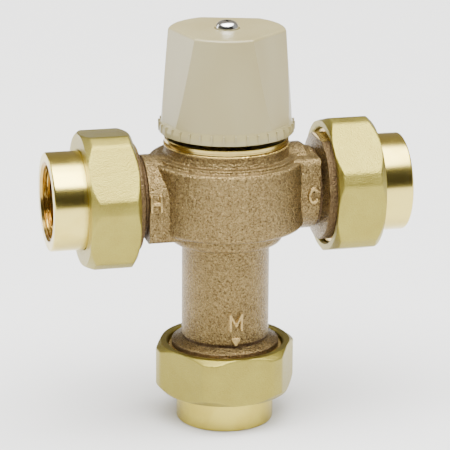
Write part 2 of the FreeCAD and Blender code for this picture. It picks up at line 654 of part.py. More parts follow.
def knob_screw():
    tip = SCREW_SEAT_Z - SCREW_LENGTH
    crown = SCREW_SEAT_Z + SCREW_HEAD_HEIGHT
    form = turned([
        (0, tip), (SCREW_RADIUS - SCREW_POINT, tip), (SCREW_RADIUS, tip + SCREW_POINT),
        (SCREW_RADIUS, SCREW_SEAT_Z), (SCREW_HEAD_RADIUS, SCREW_SEAT_Z),
        (SCREW_HEAD_RADIUS, crown, SCREW_HEAD_ROUND), (0, crown),
    ])
    slot = block((-SCREW_SLOT_LENGTH / 2, SCREW_SLOT_LENGTH / 2),
                 (-SCREW_SLOT_WIDTH / 2, SCREW_SLOT_WIDTH / 2),
                 (crown - SCREW_SLOT_DEPTH, crown + CUT_BEYOND))
    return form.cut([slot, turn(slot, 90)])


# --- carrier and overload spring -------------------------------------------------------
def adjusting_carrier():
    pocket_top = CARRIER_TOP_Z - CARRIER_HEAD
    groove = CARRIER_POCKET_RADIUS + SNAP_RING_DEPTH
    ring_top = CUP_Z + END_GAP
    form = turned([
        (SPINDLE_THREAD_RADIUS + RUN_GAP, CARRIER_TOP_Z),
        (CARRIER_RADIUS, CARRIER_TOP_Z, CARRIER_EDGE),
        (CARRIER_RADIUS, CARRIER_BOTTOM_Z, CARRIER_EDGE),
        (CARRIER_POCKET_RADIUS, CARRIER_BOTTOM_Z),
        (CARRIER_POCKET_RADIUS, SNAP_RING_Z), (groove, SNAP_RING_Z), (groove, ring_top),
        (CARRIER_POCKET_RADIUS, ring_top),
        (CARRIER_POCKET_RADIUS, pocket_top, CARRIER_POCKET_ROUND),
        (SPINDLE_THREAD_RADIUS + RUN_GAP, pocket_top),
    ])
    key = block((CARRIER_RADIUS - CARRIER_EDGE, CARRIER_RADIUS + CARRIER_KEY_HEIGHT),
                (-CARRIER_KEY_WIDTH / 2, CARRIER_KEY_WIDTH / 2),
                (UPPER_SEAT_Z, CARRIER_TOP_Z - CARRIER_EDGE))
    return form.fuse(around(key, 2))


def spring_cup():
    flange_top = CUP_Z + CUP_FLANGE
    crown = flange_top + CUP_CROWN_HEIGHT
    hollow = PIN_RADIUS + RUN_GAP
    return turned([
        (hollow, CUP_Z), (CARRIER_POCKET_RADIUS - RUN_GAP, CUP_Z, CUP_EDGE),
        (CARRIER_POCKET_RADIUS - RUN_GAP, flange_top, CUP_EDGE), (CUP_CROWN_RADIUS, flange_top),
        (CUP_CROWN_RADIUS, crown, CUP_CROWN_ROUND), (0, crown), (0, crown - CUP_ROOF),
        (hollow, crown - CUP_ROOF),
    ])


def carrier_snap_ring():
    outer = CARRIER_POCKET_RADIUS + SNAP_RING_DEPTH - RUN_GAP
    return open_ring(outer, outer - SNAP_RING_WIDTH, SNAP_RING_Z, CUP_Z, SNAP_RING_MOUTH)


def overload_spring():
    return coil(OVERLOAD_COIL_RADIUS, OVERLOAD_WIRE, CUP_Z + CUP_FLANGE,
                CARRIER_TOP_Z - CARRIER_HEAD, OVERLOAD_TURNS)


# --- shuttle and element ---------------------------------------------------------------
def shuttle():
    inner = SHUTTLE_RADIUS - SHUTTLE_WALL
    groove = SHUTTLE_RADIUS - SHUTTLE_RING_SECTION
    low, high = WEB_Z - SHUTTLE_RING_SECTION / 2, WEB_Z + SHUTTLE_RING_SECTION / 2
    belt = groove - SHUTTLE_WALL / 2
    sleeve = turned([
        (inner, SHUTTLE_BOTTOM_Z), (SHUTTLE_RADIUS, SHUTTLE_BOTTOM_Z),
        (SHUTTLE_RADIUS, low), (groove, low), (groove, high), (SHUTTLE_RADIUS, high),
        (SHUTTLE_RADIUS, SHUTTLE_TOP_Z), (inner, SHUTTLE_TOP_Z),
        (inner, high + SHUTTLE_WALL), (belt, high + SHUTTLE_WALL / 2),
        (belt, low - SHUTTLE_WALL / 2), (inner, low - SHUTTLE_WALL),
    ])
    hub = cylinder(SHUTTLE_HUB_RADIUS, SHUTTLE_BOTTOM_Z, HUB_TOP_Z)
    spoke = block((0, inner + SHUTTLE_WALL / 2),
                  (-SHUTTLE_SPOKE_WIDTH / 2, SHUTTLE_SPOKE_WIDTH / 2),
                  (SHUTTLE_BOTTOM_Z, HUB_TOP_Z))
    solid = sleeve.fuse([hub] + around(spoke, SHUTTLE_SPOKES, 45))
    return solid.cut(cylinder(ELEMENT_RADIUS + RUN_GAP, SHUTTLE_BOTTOM_Z, HUB_TOP_Z))


def shuttle_o_ring():
    return o_ring(SHUTTLE_RADIUS - SHUTTLE_RING_SECTION, SHUTTLE_RADIUS + RUN_GAP, WEB_Z)


def wax_element():
    flange_top = HUB_TOP_Z + ELEMENT_FLANGE
    tip = HUB_TOP_Z - ELEMENT_LENGTH
    hole = GUIDE_TOP_Z - PIN_HIDDEN - PIN_STROKE_ROOM
    return turned([
        (0, tip), (ELEMENT_RADIUS, tip, ELEMENT_TIP_ROUND), (ELEMENT_RADIUS, HUB_TOP_Z),
        (ELEMENT_FLANGE_RADIUS, HUB_TOP_Z, ELEMENT_EDGE),
        (ELEMENT_FLANGE_RADIUS, flange_top, ELEMENT_EDGE),
        (ELEMENT_GUIDE_RADIUS, flange_top), (ELEMENT_GUIDE_RADIUS, GUIDE_TOP_Z, ELEMENT_EDGE),
        (PIN_RADIUS + RUN_GAP, GUIDE_TOP_Z), (PIN_RADIUS + RUN_GAP, hole), (0, hole),
    ])


def element_pin():
    top = CUP_Z + CUP_FLANGE + CUP_CROWN_HEIGHT - CUP_ROOF - END_GAP
    low = GUIDE_TOP_Z - PIN_HIDDEN
    return turned([(0, low), (PIN_RADIUS, low, PIN_EDGE), (PIN_RADIUS, top, PIN_EDGE), (0, top)])


def spring_seat():
    return ring(STEM_BORE_RADIUS - RUN_GAP, SEAT_RING_BORE_RADIUS, LEDGE_Z,
                LEDGE_Z + SEAT_RING_THICKNESS)


def return_spring():
    return coil(RETURN_COIL_RADIUS, RETURN_WIRE, LEDGE_Z + SEAT_RING_THICKNESS,
                SHUTTLE_BOTTOM_Z, RETURN_TURNS)


# --- check valves and screens ----------------------------------------------------------
def check_housing(port):
    inner_end = port.face - CHECK_LENGTH
    seat = port.face - CHECK_SEAT_DEPTH
    groove_top = port.face - CHECK_GROOVE_INSET
    groove_low = groove_top - CHECK_GROOVE_WIDTH
    groove = CHECK_RADIUS - CHECK_GROOVE_DEPTH
    form = turned([
        (0, inner_end), (CHECK_RADIUS, inner_end, CHECK_EDGE), (CHECK_RADIUS, groove_low),
        (groove, groove_low), (groove, groove_top), (CHECK_RADIUS, groove_top),
        (CHECK_RADIUS, port.face - CHECK_HEAD), (CHECK_HEAD_RADIUS, port.face - CHECK_HEAD),
        (CHECK_HEAD_RADIUS, port.face), (CHECK_BORE_RADIUS, port.face),
        (CHECK_SEAT_RADIUS, seat + CHECK_SEAT_LAND), (CHECK_SEAT_RADIUS, seat),
        (CHECK_BORE_RADIUS, seat),
        (CHECK_BORE_RADIUS, inner_end + CHECK_SPIDER), (0, inner_end + CHECK_SPIDER),
    ])
    low, high = inner_end - CUT_BEYOND, inner_end + CHECK_SPIDER + CUT_BEYOND
    hole = cylinder(CHECK_HOLE_RADIUS, low, high, x=CHECK_HOLE_PITCH_RADIUS)
    guide = cylinder(POPPET_STEM_RADIUS + RUN_GAP, low, high)
    return form.cut(around(hole, CHECK_SPIDER_HOLES) + [guide])


def check_o_ring(port):
    middle = port.face - CHECK_GROOVE_INSET - CHECK_GROOVE_WIDTH / 2
    return o_ring(CHECK_RADIUS - CHECK_GROOVE_DEPTH, ARM_BORE_RADIUS, middle)


def check_poppet(port):
    seal_low = port.face - CHECK_SEAT_DEPTH - CHECK_SEAL_THICKNESS
    back = seal_low - POPPET_THICKNESS
    stem_end = port.face - CHECK_LENGTH - POPPET_STEM_BEYOND
    nose = seal_low + POPPET_NOSE
    return turned([
        (0, stem_end), (POPPET_STEM_RADIUS, stem_end, POPPET_EDGE),
        (POPPET_STEM_RADIUS, back, POPPET_EDGE), (POPPET_RADIUS, back),
        (POPPET_RADIUS, seal_low), (POPPET_NOSE_RADIUS, seal_low),
        (POPPET_NOSE_RADIUS, nose, POPPET_NOSE_ROUND), (0, nose),
    ])


def check_seal(port):
    high = port.face - CHECK_SEAT_DEPTH
    return ring(POPPET_RADIUS, POPPET_NOSE_RADIUS, high - CHECK_SEAL_THICKNESS, high)


def check_spring(port):
    back = port.face - CHECK_SEAT_DEPTH - CHECK_SEAL_THICKNESS - POPPET_THICKNESS
    return coil(CHECK_COIL_RADIUS, CHECK_WIRE, port.face - CHECK_LENGTH + CHECK_SPIDER,
                back, CHECK_TURNS)


def filter_screen(port):
    dish = TAIL_BORE_RADIUS - SCREEN_INSET
    floor = dish - SCREEN_TAPER
    low, high = port.face, port.face + SCREEN_DEPTH
    form = turned([
        (0, high), (floor - SCREEN_THICKNESS, high, SCREEN_ROUND - SCREEN_THICKNESS),
        (dish - SCREEN_THICKNESS, low, SCREEN_RIM_ROUND),
        (dish + SCREEN_RIM, low), (dish + SCREEN_RIM, low + SCREEN_THICKNESS),
        (dish, low + SCREEN_THICKNESS, SCREEN_RIM_ROUND),
        (floor, high + SCREEN_THICKNESS, SCREEN_ROUND), (0, high + SCREEN_THICKNESS),
    ])
    holes = []
    for radius, count in SCREEN_HOLE_RINGS:
        hole = cylinder(SCREEN_HOLE_RADIUS, high - CUT_BEYOND, high + CUT_BEYOND, x=radius)
        holes += around(hole, count)
    return form.cut(holes)


# --- unions ----------------------------------------------------------------------------
def gasket(port):
    inside = OUTLET_BORE_RADIUS if port is OUTLET else TAIL_BORE_RADIUS - SCREEN_INSET + SCREEN_RIM
    return ring(SPIGOT_RADIUS - GASKET_RIM, inside + GASKET_BORE_GAP, port.face, port.flange)


def union_nut(port):
    corner = NUT_ACROSS_FLATS / 2 / math.cos(math.pi / NUT_SIDES)
    points = [turn(Part.Vertex(0, -corner, port.nut_inner), 360.0 / NUT_SIDES * i).Point
              for i in range(NUT_SIDES)]
    prism = Part.Face(Part.makePolygon(points + points[:1])).extrude(Vector(0, 0, NUT_LENGTH))
    envelope = turned([
        (0, port.nut_inner), (NUT_FACE_RADIUS, port.nut_inner),
        (NUT_CORNER_RADIUS, port.nut_inner + NUT_BACK_CHAMFER),
        (NUT_CORNER_RADIUS, port.nut_outer - NUT_CHAMFER),
        (NUT_FACE_RADIUS, port.nut_outer), (0, port.nut_outer),
    ])
    thread = SPIGOT_RADIUS + RUN_GAP
    hole = TAIL_RADIUS + NUT_LIP_GAP
    bore = turned([
        (0, port.nut_inner - CUT_BEYOND), (thread + NUT_MOUTH, port.nut_inner - CUT_BEYOND),
        (thread + NUT_MOUTH, port.nut_inner), (thread, port.nut_inner + NUT_MOUTH),
        (thread, port.lip), (hole, port.lip), (hole, port.nut_outer + CUT_BEYOND),
        (0, port.nut_outer + CUT_BEYOND),
    ])
    return turn(prism.common(envelope).cut(bore), port.nut_turn)


def tailpiece(port):
    flange_radius = SPIGOT_RADIUS - NUT_LIP_GAP
    thread_end = port.end - PIPE_THREAD_DEPTH
    return turned([
        (TAIL_BORE_RADIUS, port.flange), (flange_radius, port.flange, TAIL_FLANGE_EDGE),
        (flange_radius, port.lip), (TAIL_RADIUS, port.lip),
        (TAIL_RADIUS, port.end, TAIL_EDGE), (PIPE_THREAD_RADIUS + PIPE_MOUTH, port.end),
        (PIPE_THREAD_RADIUS, port.end - PIPE_MOUTH), (PIPE_THREAD_RADIUS, thread_end),
        (TAIL_BORE_RADIUS, thread_end - PIPE_RUNOUT),
    ])


# --- the whole valve -------------------------------------------------------------------
def pieces():
    """Every piece by name, with heights from the inlets' level."""
    made = {
        "valve_body": valve_body(),
        "bonnet": bonnet(),
        "bonnet_o_ring": bonnet_o_ring(),
        "adjusting_spindle": adjusting_spindle(),
        "spindle_o_ring_lower": spindle_o_ring(SPINDLE_GROOVE_RISES[0]),
        "spindle_o_ring_upper": spindle_o_ring(SPINDLE_GROOVE_RISES[1]),
        "spindle_circlip": spindle_circlip(),
        "temperature_knob": temperature_knob(),
        "knob_screw": knob_screw(),
        "adjusting_carrier": adjusting_carrier(),
        "spring_cup": spring_cup(),
        "carrier_snap_ring": carrier_snap_ring(),
        "overload_spring": overload_spring(),
        "shuttle": shuttle(),
        "shuttle_o_ring": shuttle_o_ring(),
        "wax_element": wax_element(),
        "element_pin": element_pin(),
        "spring_seat": spring_seat(),
        "return_spring": return_spring(),
    }
    for port in (HOT, COLD):
        for make in (check_housing, check_o_ring, check_poppet, check_seal, check_spring,
                     filter_screen):
            made[f"{port.name}_{make.__name__}"] = face_port(make(port), port)
    for port in (HOT, COLD, OUTLET):
        for make in (gasket, union_nut, tailpiece):
            made[f"{port.name}_{make.__name__}"] = face_port(make(port), port)
    return made


def main():
    os.makedirs("parts", exist_ok=True)
    for name, shape in pieces().items():
        shift(shape, z=OUTLET_DROP).exportStep(f"parts/{name}.step")


main()
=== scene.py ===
"""Visual model of a three-way mixing valve, dressed over its measured frame.

Lengths in the size fields are millimetres, and a mesh is scaled to metres as it is made.
A union is drawn as turn angle, radius and distance out from the valve's centre, and its
Port places it.
"""

import logging
import math
from dataclasses import dataclass, field
from enum import Enum
from functools import cache, reduce
from typing import Any, Callable, Sequence

import bmesh
import bpy
import numpy as np
from mathutils import Matrix, Vector


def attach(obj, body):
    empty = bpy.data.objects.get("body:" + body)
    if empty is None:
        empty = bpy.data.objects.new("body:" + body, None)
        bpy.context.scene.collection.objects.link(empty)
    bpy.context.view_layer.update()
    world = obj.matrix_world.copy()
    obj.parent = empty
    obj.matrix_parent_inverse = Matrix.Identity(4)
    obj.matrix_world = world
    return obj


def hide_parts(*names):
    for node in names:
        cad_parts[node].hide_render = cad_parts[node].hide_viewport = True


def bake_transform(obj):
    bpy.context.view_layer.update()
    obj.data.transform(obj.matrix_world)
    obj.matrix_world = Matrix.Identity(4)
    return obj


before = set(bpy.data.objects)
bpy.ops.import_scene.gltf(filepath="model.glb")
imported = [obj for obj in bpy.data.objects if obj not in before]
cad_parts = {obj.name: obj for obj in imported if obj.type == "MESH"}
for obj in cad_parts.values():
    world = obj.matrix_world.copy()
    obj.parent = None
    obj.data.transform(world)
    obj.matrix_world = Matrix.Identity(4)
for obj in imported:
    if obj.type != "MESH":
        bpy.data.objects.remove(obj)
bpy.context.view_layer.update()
LOG = logging.getLogger("valve")
MM = 0.001
SAME_POINT = 1e-6           # metres
INLET_LEVEL = 83.9          # height of the inlets' centre line
UNION_PITCH = 2.309
UNION_DEPTH = 1.1           # of the union threads, crest to root
AIM_HEIGHT = 0.08           # metres, where the lights point
Colour = tuple[float, float, float, float]
Shares = tuple[float, ...]
Ring = tuple[np.ndarray, np.ndarray]        # a radius and a distance out for each angle
Faces = list[tuple[int, ...]]


class Axis(Enum):
    """The line that a turned piece lies along."""

    INLETS = "inlets"
    STEM = "stem"


class Port(Enum):
    """One of the three ports."""

    HOT = ("hot", 6.7, 63.7, ((0, 0, -1), (0, 1, 0), (1, 0, 0)))
    COLD = ("cold", -18.9, 63.7, ((0, 0, 1), (0, 1, 0), (-1, 0, 0)))
    OUTLET = ("outlet", 25.5, 83.9, ((-1, 0, 0), (0, 1, 0), (0, 0, -1)))

    def __init__(self, label: str, nut_turn: float, reach: float,
                 turned: Sequence[Sequence[int]]) -> None:
        """Name the port's values.

        Args:
            label: Its name in node and body names.
            nut_turn: How far its nut is turned, in degrees.
            reach: Valve centre to the tailpiece's end, in millimetres.
            turned: Rows that turn x, y and the distance out into the frame's x, y and z.
        """
        self.label, self.nut_turn, self.reach = label, nut_turn, reach
        self.turned = np.array(turned)

    def place(self, points: np.ndarray) -> np.ndarray:
        """Turn and move points from a drawing in millimetres to the frame in metres."""
        return (points @ self.turned.T + (0.0, 0.0, INLET_LEVEL)) * MM

    def unplace(self, points: np.ndarray) -> np.ndarray:
        """Undo place(), from the frame in metres to the drawing in millimetres."""
        return (points / MM - (0.0, 0.0, INLET_LEVEL)) @ self.turned


# --- shader maths ---
class Value:
    """A number in a shader tree that takes arithmetic and adds its Math nodes."""

    def __init__(self, tree: "Tree", socket: bpy.types.NodeSocket) -> None:
        """Wrap one output socket of a tree."""
        self.tree = tree
        self.socket = socket

    def math(self, operation: str, *others: "Value | float", flip: bool = False) -> "Value":
        """Add a Math node.

        Args:
            operation: The Math node's operation.
            others: The operands after this one.
            flip: Whether this one comes second.

        Returns:
            The node's result.
        """
        operands = [self, *others]
        if flip:
            operands.reverse()
        return self.tree.value("ShaderNodeMath", dict(enumerate(operands)),
                               operation=operation)

    def __add__(self, other: "Value | float") -> "Value":
        """Sum."""
        return self.math("ADD", other)

    __radd__ = __add__

    def __sub__(self, other: "Value | float") -> "Value":
        """Difference."""
        return self.math("SUBTRACT", other)

    def __rsub__(self, other: float) -> "Value":
        """Difference from a number."""
        return self.math("SUBTRACT", other, flip=True)

    def __mul__(self, other: "Value | float") -> "Value":
        """Product."""
        return self.math("MULTIPLY", other)

    __rmul__ = __mul__

    def __truediv__(self, other: "Value | float") -> "Value":
        """Quotient."""
        return self.math("DIVIDE", other)

    def most(self, *others: "Value | float") -> "Value":
        """The largest of this one and others."""
        return reduce(lambda largest, other: largest.math("MAXIMUM", other), others, self)

    def step(self, low: float, high: float) -> "Value":
        """Rise smoothly from 0 at low to 1 at high."""
        return self.tree.value("ShaderNodeMapRange", {0: self, 1: low, 2: high},
                               interpolation_type="SMOOTHSTEP")

    def band(self, low: float, high: float, soft: float) -> "Value":
        """Be 1 between two limits and 0 outside, with edges as wide as soft."""
        return self.step(low - soft, low) * (1.0 - self.step(high, high + soft))

    def saw(self, period: float) -> "Value":
        """Triangle wave from 0 to 1 and back over each period."""
        return self.math("PINGPONG", period / 2.0) * (2.0 / period)


class Tree:
    """One shader node tree, with one way of adding a node."""

    def __init__(self, tree: bpy.types.NodeTree) -> None:
        """Start with an empty tree."""
        tree.nodes.clear()
        self.tree = tree

    def node(self, kind: str, sockets: dict[Any, Any] | None = None,
             **settings: Any) -> bpy.types.Node:
        """Add any node.

        Args:
            kind: The node's type.
            sockets: Values or links by a socket's name or place.
            settings: The node's own settings, and stops for a ramp's positions and colours.

        Returns:
            The new node.
        """
        made = self.tree.nodes.new(kind)
        for name, value in settings.items():
            if name == "stops":
                while len(made.color_ramp.elements) < len(value):
                    made.color_ramp.elements.new(0.5)
                for element, (position, colour) in zip(made.color_ramp.elements, value):
                    element.position, element.color = position, colour
            else:
                setattr(made, name, value)
        for name, value in (sockets or {}).items():
            link = value.socket if isinstance(value, Value) else value
            if isinstance(link, bpy.types.NodeSocket):
                self.tree.links.new(link, made.inputs[name])
            else:
                made.inputs[name].default_value = link
        return made

    def value(self, kind: str, sockets: dict[Any, Any], **settings: Any) -> Value:
        """Add a node as node() does, and wrap its first output."""
        return Value(self, self.node(kind, sockets, **settings).outputs[0])

    def mix(self, factor: Value, first: Any, second: Any) -> bpy.types.NodeSocket:
        """Mix two colours or colour sockets, all of the first at 0 and of the second at 1."""
        return self.node("ShaderNodeMix", {0: factor, 6: first, 7: second},
                         data_type="RGBA", clamp_factor=True).outputs[2]

    def noise(self, size: float, detail: float = 2.0, rough: float = 0.5,
              stretch: Sequence[float] = (1.0, 1.0, 1.0)) -> Value:
        """Add noise in object space.

        Args:
            size: Width of its features, in millimetres.
            detail: Octaves.
            rough: How strong the finer ones are.
            stretch: Longer features along X, Y or Z.

        Returns:
            The noise, from 0 to 1.
        """
        place = self.node("ShaderNodeTexCoord").outputs["Object"]
        per_feature = self.node("ShaderNodeVectorMath", {
            0: place, 1: tuple(1.0 / (size * MM * along) for along in stretch)},
            operation="MULTIPLY").outputs[0]
        return self.value("ShaderNodeTexNoise", {
            "Vector": per_feature, "Scale": 1.0, "Detail": detail, "Roughness": rough})

    def polar(self, axis: Axis) -> tuple[Value, Value]:
        """Measure along an axis and out from it.

        Args:
            axis: The line to measure from.

        Returns:
            The distance along it and the radius, in millimetres.
        """
        place = self.node("ShaderNodeSeparateXYZ", {
            0: self.node("ShaderNodeTexCoord").outputs["Object"]})
        x, y, z = (Value(self, place.outputs[i]) * (1.0 / MM) for i in range(3))
        along, side = (z, x) if axis is Axis.STEM else (x.math("ABSOLUTE"), z - INLET_LEVEL)
        return along, (side * side + y * y).math("SQRT")


def weigh(parts: Sequence[Value], weights: Shares) -> Value:
    """Add up values, each times its own weight."""
    first, *others = (part * weight for part, weight in zip(parts, weights))
    return sum(others, first)


# --- finishes ---
@dataclass(frozen=True)
class Finish:
    """A surface, with the numbers that are the same all over it.

    A finish with no slot of its own name in the record says which slot it belongs to. Values
    for noise() and step() are kept together in its fields.
    """

    name: str
    slot: str = ""
    metallic: float = 0.0
    roughness: float = 0.5
    coat: float = 0.0
    coat_roughness: float = 0.1
    ior: float = 1.5

    def paint(self, tree: Tree) -> dict[str, Any]:
        """Build the parts of the surface that vary from place to place.

        Args:
            tree: The material's tree.

        Returns:
            Values and links by the shader's socket, and the relief in millimetres as "Height".
        """
        raise NotImplementedError

    @cache
    def material(self) -> bpy.types.Material:
        """Build the material once, and give the same one after that.

        Its name isn't the slot's, because the loaded frame holds plain materials of those
        names.

        Returns:
            The material.
        """
        made = bpy.data.materials.new(f"dressed_{self.name}")
        made.use_nodes = True
        tree = Tree(made.node_tree)
        sockets = {"Metallic": self.metallic, "Roughness": self.roughness,
                   "Coat Weight": self.coat, "Coat Roughness": self.coat_roughness,
                   "IOR": self.ior}
        sockets.update(self.paint(tree))
        height = sockets.pop("Height", None)
        if height is not None:
            sockets["Normal"] = tree.node("ShaderNodeBump", {
                "Strength": 1.0, "Distance": MM, "Height": height}).outputs[0]
        shader = tree.node("ShaderNodeBsdfPrincipled", sockets)
        tree.node("ShaderNodeOutputMaterial", {"Surface": shader.outputs[0]})
        return made


@dataclass(frozen=True)
class CastBronze(Finish):
    """Sand-cast bronze, blasted, with machined ends, and dirt and painted shade darkening its
    corners.

    The zones give where they start and end, and how soft their edges are.
    """

    dark: Colour = (0.060, 0.035, 0.014, 1.0)
    tan: Colour = (0.2, 0.138, 0.056, 1.0)
    light: Colour = (0.335, 0.246, 0.107, 1.0)
    machined: Colour = (0.62, 0.45, 0.15, 1.0)
    # Colour of the dirt and painted shade in the corners.
    dirt_and_shade_colour: Colour = (0.075, 0.043, 0.026, 1.0)
    grain: Shares = (0.7, 2.0, 0.6)
    fine: Shares = (0.42, 1.0)
    lumps: Shares = (3.2, 3.0, 0.55)
    cloud: Shares = (16.0, 2.0)
    glint: Shares = (0.5, 1.0)
    dark_to_light: Shares = (0.36, 0.55, 0.76)
    shade_weights: Shares = (0.62, 0.30, 0.10, 0.12)
    pit_weights: Shares = (0.6, 0.4)
    pit_range: Shares = (0.33, 0.46)
    pit_strength: float = 0.62
    glint_range: Shares = (0.52, 0.66)
    dull_weights: Shares = (0.10, 0.2)
    relief_weights: Shares = (0.62, 0.20, 0.22)
    dirt_and_shade_strength: float = 0.72
    dirt_and_shade_patches: float = 0.5
    corner_dirt_and_shade: float = 0.8
    machined_polish: float = 0.45
    coarse: float = 1.0
    spigot: Shares = (36.0, 36.3)
    foot: Shares = (27.4, 27.7)
    neck: Shares = (101.55, 101.75)
    arm_bore: Shares = (12.6, 13.0)
    arm_bore_start: Shares = (26.0, 26.2)
    collar: Shares = (32.9, 36.3, 0.5)
    arm: Shares = (30.4, 31.3, 0.25)
    arm_girth: Shares = (15.0, 17.0)
    ankle: Shares = (27.4, 29.3, 0.4)
    under: Shares = (30.8, 31.8, 0.3)
    under_girth: Shares = (15.6, 16.6)

    def zones(self, tree: Tree) -> tuple[Value, Value]:
        """Find the machined places and the corners darkened by dirt and painted shade.

        Args:
            tree: The material's tree.

        Returns:
            How machined a place is and how darkened by dirt and painted shade, each from 0 to
            1.
        """
        along, radius = tree.polar(Axis.INLETS)
        height, stem_radius = tree.polar(Axis.STEM)
        solid = 1.0 - along.step(*self.arm_bore_start)
        bored = 1.0 - radius.step(*self.arm_bore).most(solid)
        turned = along.step(*self.spigot).most(1.0 - height.step(*self.foot),
                                               height.step(*self.neck), bored)
        # The collar, arm, ankle and under bands mark the corners that take dirt and painted
        # shade.
        collar = along.band(*self.collar) * self.corner_dirt_and_shade
        arm = along.band(*self.arm) * (1.0 - radius.step(*self.arm_girth))
        ankle = height.band(*self.ankle) * self.corner_dirt_and_shade
        under = height.band(*self.under) * (1.0 - stem_radius.step(*self.under_girth))
        return turned, collar.most(arm, ankle, under)

    def paint(self, tree: Tree) -> dict[str, Any]:
        """Grain, lumps, glints, machined ends, and corners darkened by dirt and painted shade.
        """
        turned, dirt_and_shade = self.zones(tree)
        grain, fine = tree.noise(*self.grain), tree.noise(*self.fine)
        lumps, cloud = tree.noise(*self.lumps), tree.noise(*self.cloud)
        shade = weigh((grain, fine, lumps, cloud), self.shade_weights)
        ramp = tree.node("ShaderNodeValToRGB", {0: shade}, stops=list(
            zip(self.dark_to_light, (self.dark, self.tan, self.light))))
        pits = 1.0 - weigh((grain, fine), self.pit_weights).step(*self.pit_range)
        colour = tree.mix(pits * self.pit_strength, ramp.outputs[0], self.dark)
        # The corners and creases are darkened here, partly as dirt and partly as painted shade.
        dirt_and_shade_mix = dirt_and_shade * (self.dirt_and_shade_strength + self.dirt_and_shade_patches * (lumps - 0.5))
        colour = tree.mix(dirt_and_shade_mix, colour, self.dirt_and_shade_colour)
        dull = 1.0 - tree.noise(*self.glint).step(*self.glint_range)
        rough = self.roughness + weigh((dull, dirt_and_shade), self.dull_weights)
        relief = weigh((grain, fine, lumps), self.relief_weights) * self.coarse
        return {"Base Color": tree.mix(turned, colour, self.machined),
                "Roughness": rough * (1.0 - turned * self.machined_polish),
                "Height": relief * (1.0 - turned)}


@dataclass(frozen=True)
class ForgedBrass(Finish):
    """Forged and blasted brass, even and satin, with faint mottling."""

    pale: Colour = (0.345, 0.294, 0.064, 1.0)
    deep: Colour = (0.29, 0.238, 0.050, 1.0)
    grain: Shares = (0.42, 2.0, 0.6)
    mottle: Shares = (7.0, 3.0)
    dents: Shares = (2.4, 2.0)
    shade_weights: Shares = (0.55, 0.45)
    shade_range: Shares = (0.34, 0.66)
    dull_weights: Shares = (0.12, 0.14)
    relief_weights: Shares = (0.20, 0.07)

    def paint(self, tree: Tree) -> dict[str, Any]:
        """Fine blasted grain over slow mottling."""
        grain, mottle = tree.noise(*self.grain), tree.noise(*self.mottle)
        shade = weigh((grain, mottle), self.shade_weights).step(*self.shade_range)
        return {"Base Color": tree.mix(shade, self.deep, self.pale),
                "Roughness": self.roughness + weigh((grain - 0.5, mottle - 0.5),
                                                    self.dull_weights),
                "Height": weigh((grain, tree.noise(*self.dents)), self.relief_weights)}


@dataclass(frozen=True)
class TurnedBrass(Finish):
    """Brass with the lathe's fine rings, and a browner tone inside a thread."""

    axis: Axis = Axis.STEM
    bright: Colour = (0.72, 0.59, 0.16, 1.0)
    stained: Colour = (0.62, 0.48, 0.10, 1.0)
    thread: Colour = (0.40, 0.24, 0.07, 1.0)
    thread_radius: float = 0.0
    thread_edge: float = 0.3
    thread_strength: float = 0.75
    thread_patches: float = 0.5
    pitch: float = 0.32
    wander: Shares = (2.0, 2.0)
    wander_width: float = 0.25
    stain: Shares = (9.0, 3.0)
    stain_range: Shares = (0.42, 0.68)
    stain_strength: float = 0.55
    nicks: Shares = (0.6, 1.0)
    dull_weights: Shares = (0.05, 0.06)
    relief_weights: Shares = (0.008, 0.006)

    def paint(self, tree: Tree) -> dict[str, Any]:
        """Rings along the axis, slow stains, and the thread's own tone."""
        along, radius = tree.polar(self.axis)
        wander = tree.noise(*self.wander)
        rings = (along + radius + wander * self.wander_width).saw(self.pitch)
        stain = tree.noise(*self.stain).step(*self.stain_range)
        colour = tree.mix(stain * self.stain_strength, self.bright, self.stained)
        if self.thread_radius:
            edge = self.thread_radius + self.thread_edge
            inside = 1.0 - radius.step(self.thread_radius, edge)
            strength = self.thread_strength + self.thread_patches * (wander - 0.5)
            colour = tree.mix(inside * strength, colour, self.thread)
        return {"Base Color": colour,
                "Roughness": self.roughness + weigh((rings, stain), self.dull_weights),
                "Height": weigh((rings, tree.noise(*self.nicks)), self.relief_weights)}


@dataclass(frozen=True)
class MouldedPlastic(Finish):
    """Moulded plastic with a fine spark-eroded grain."""

    colour: Colour = (0.30, 0.262, 0.130, 1.0)
    shaded: Colour = (0.27, 0.226, 0.098, 1.0)
    grain: Shares = (0.5, 2.0, 0.55)
    flow: Shares = (22.0, 2.0)
    flow_stretch: Shares = (1.0, 1.0, 3.5)
    flow_range: Shares = (0.3, 0.7)
    dull_weights: Shares = (0.16, 0.06)
    relief_weights: Shares = (0.03, 0.02)

    def paint(self, tree: Tree) -> dict[str, Any]:
        """Fine grain, faint flow marks and a slow change of tone."""
        grain = tree.noise(*self.grain)
        flow = tree.noise(*self.flow, stretch=self.flow_stretch)
        return {"Base Color": tree.mix(flow.step(*self.flow_range), self.shaded, self.colour),
                "Roughness": self.roughness + weigh((grain - 0.5, flow - 0.5),
                                                    self.dull_weights),
                "Height": weigh((grain, flow), self.relief_weights)}


@dataclass(frozen=True)
class DrawnMetal(Finish):
    """Plated, drawn or stamped metal with faint scratches along Z."""

    colour: Colour = (0.62, 0.62, 0.63, 1.0)
    worn: Colour = (0.48, 0.47, 0.46, 1.0)
    scratch: Shares = (0.35, 2.0)
    scratch_stretch: Shares = (1.0, 1.0, 9.0)
    scratch_depth: float = 0.006
    wear: Shares = (4.0, 3.0)
    wear_range: Shares = (0.4, 0.7)
    wear_strength: float = 0.6
    dull_weights: Shares = (0.07, 0.05)

    def paint(self, tree: Tree) -> dict[str, Any]:
        """Scratches and slow wear."""
        scratch = tree.noise(*self.scratch, stretch=self.scratch_stretch)
        wear = tree.noise(*self.wear).step(*self.wear_range)
        return {"Base Color": tree.mix(wear * self.wear_strength, self.colour, self.worn),
                "Roughness": self.roughness + weigh((scratch, wear), self.dull_weights),
                "Height": scratch * self.scratch_depth}


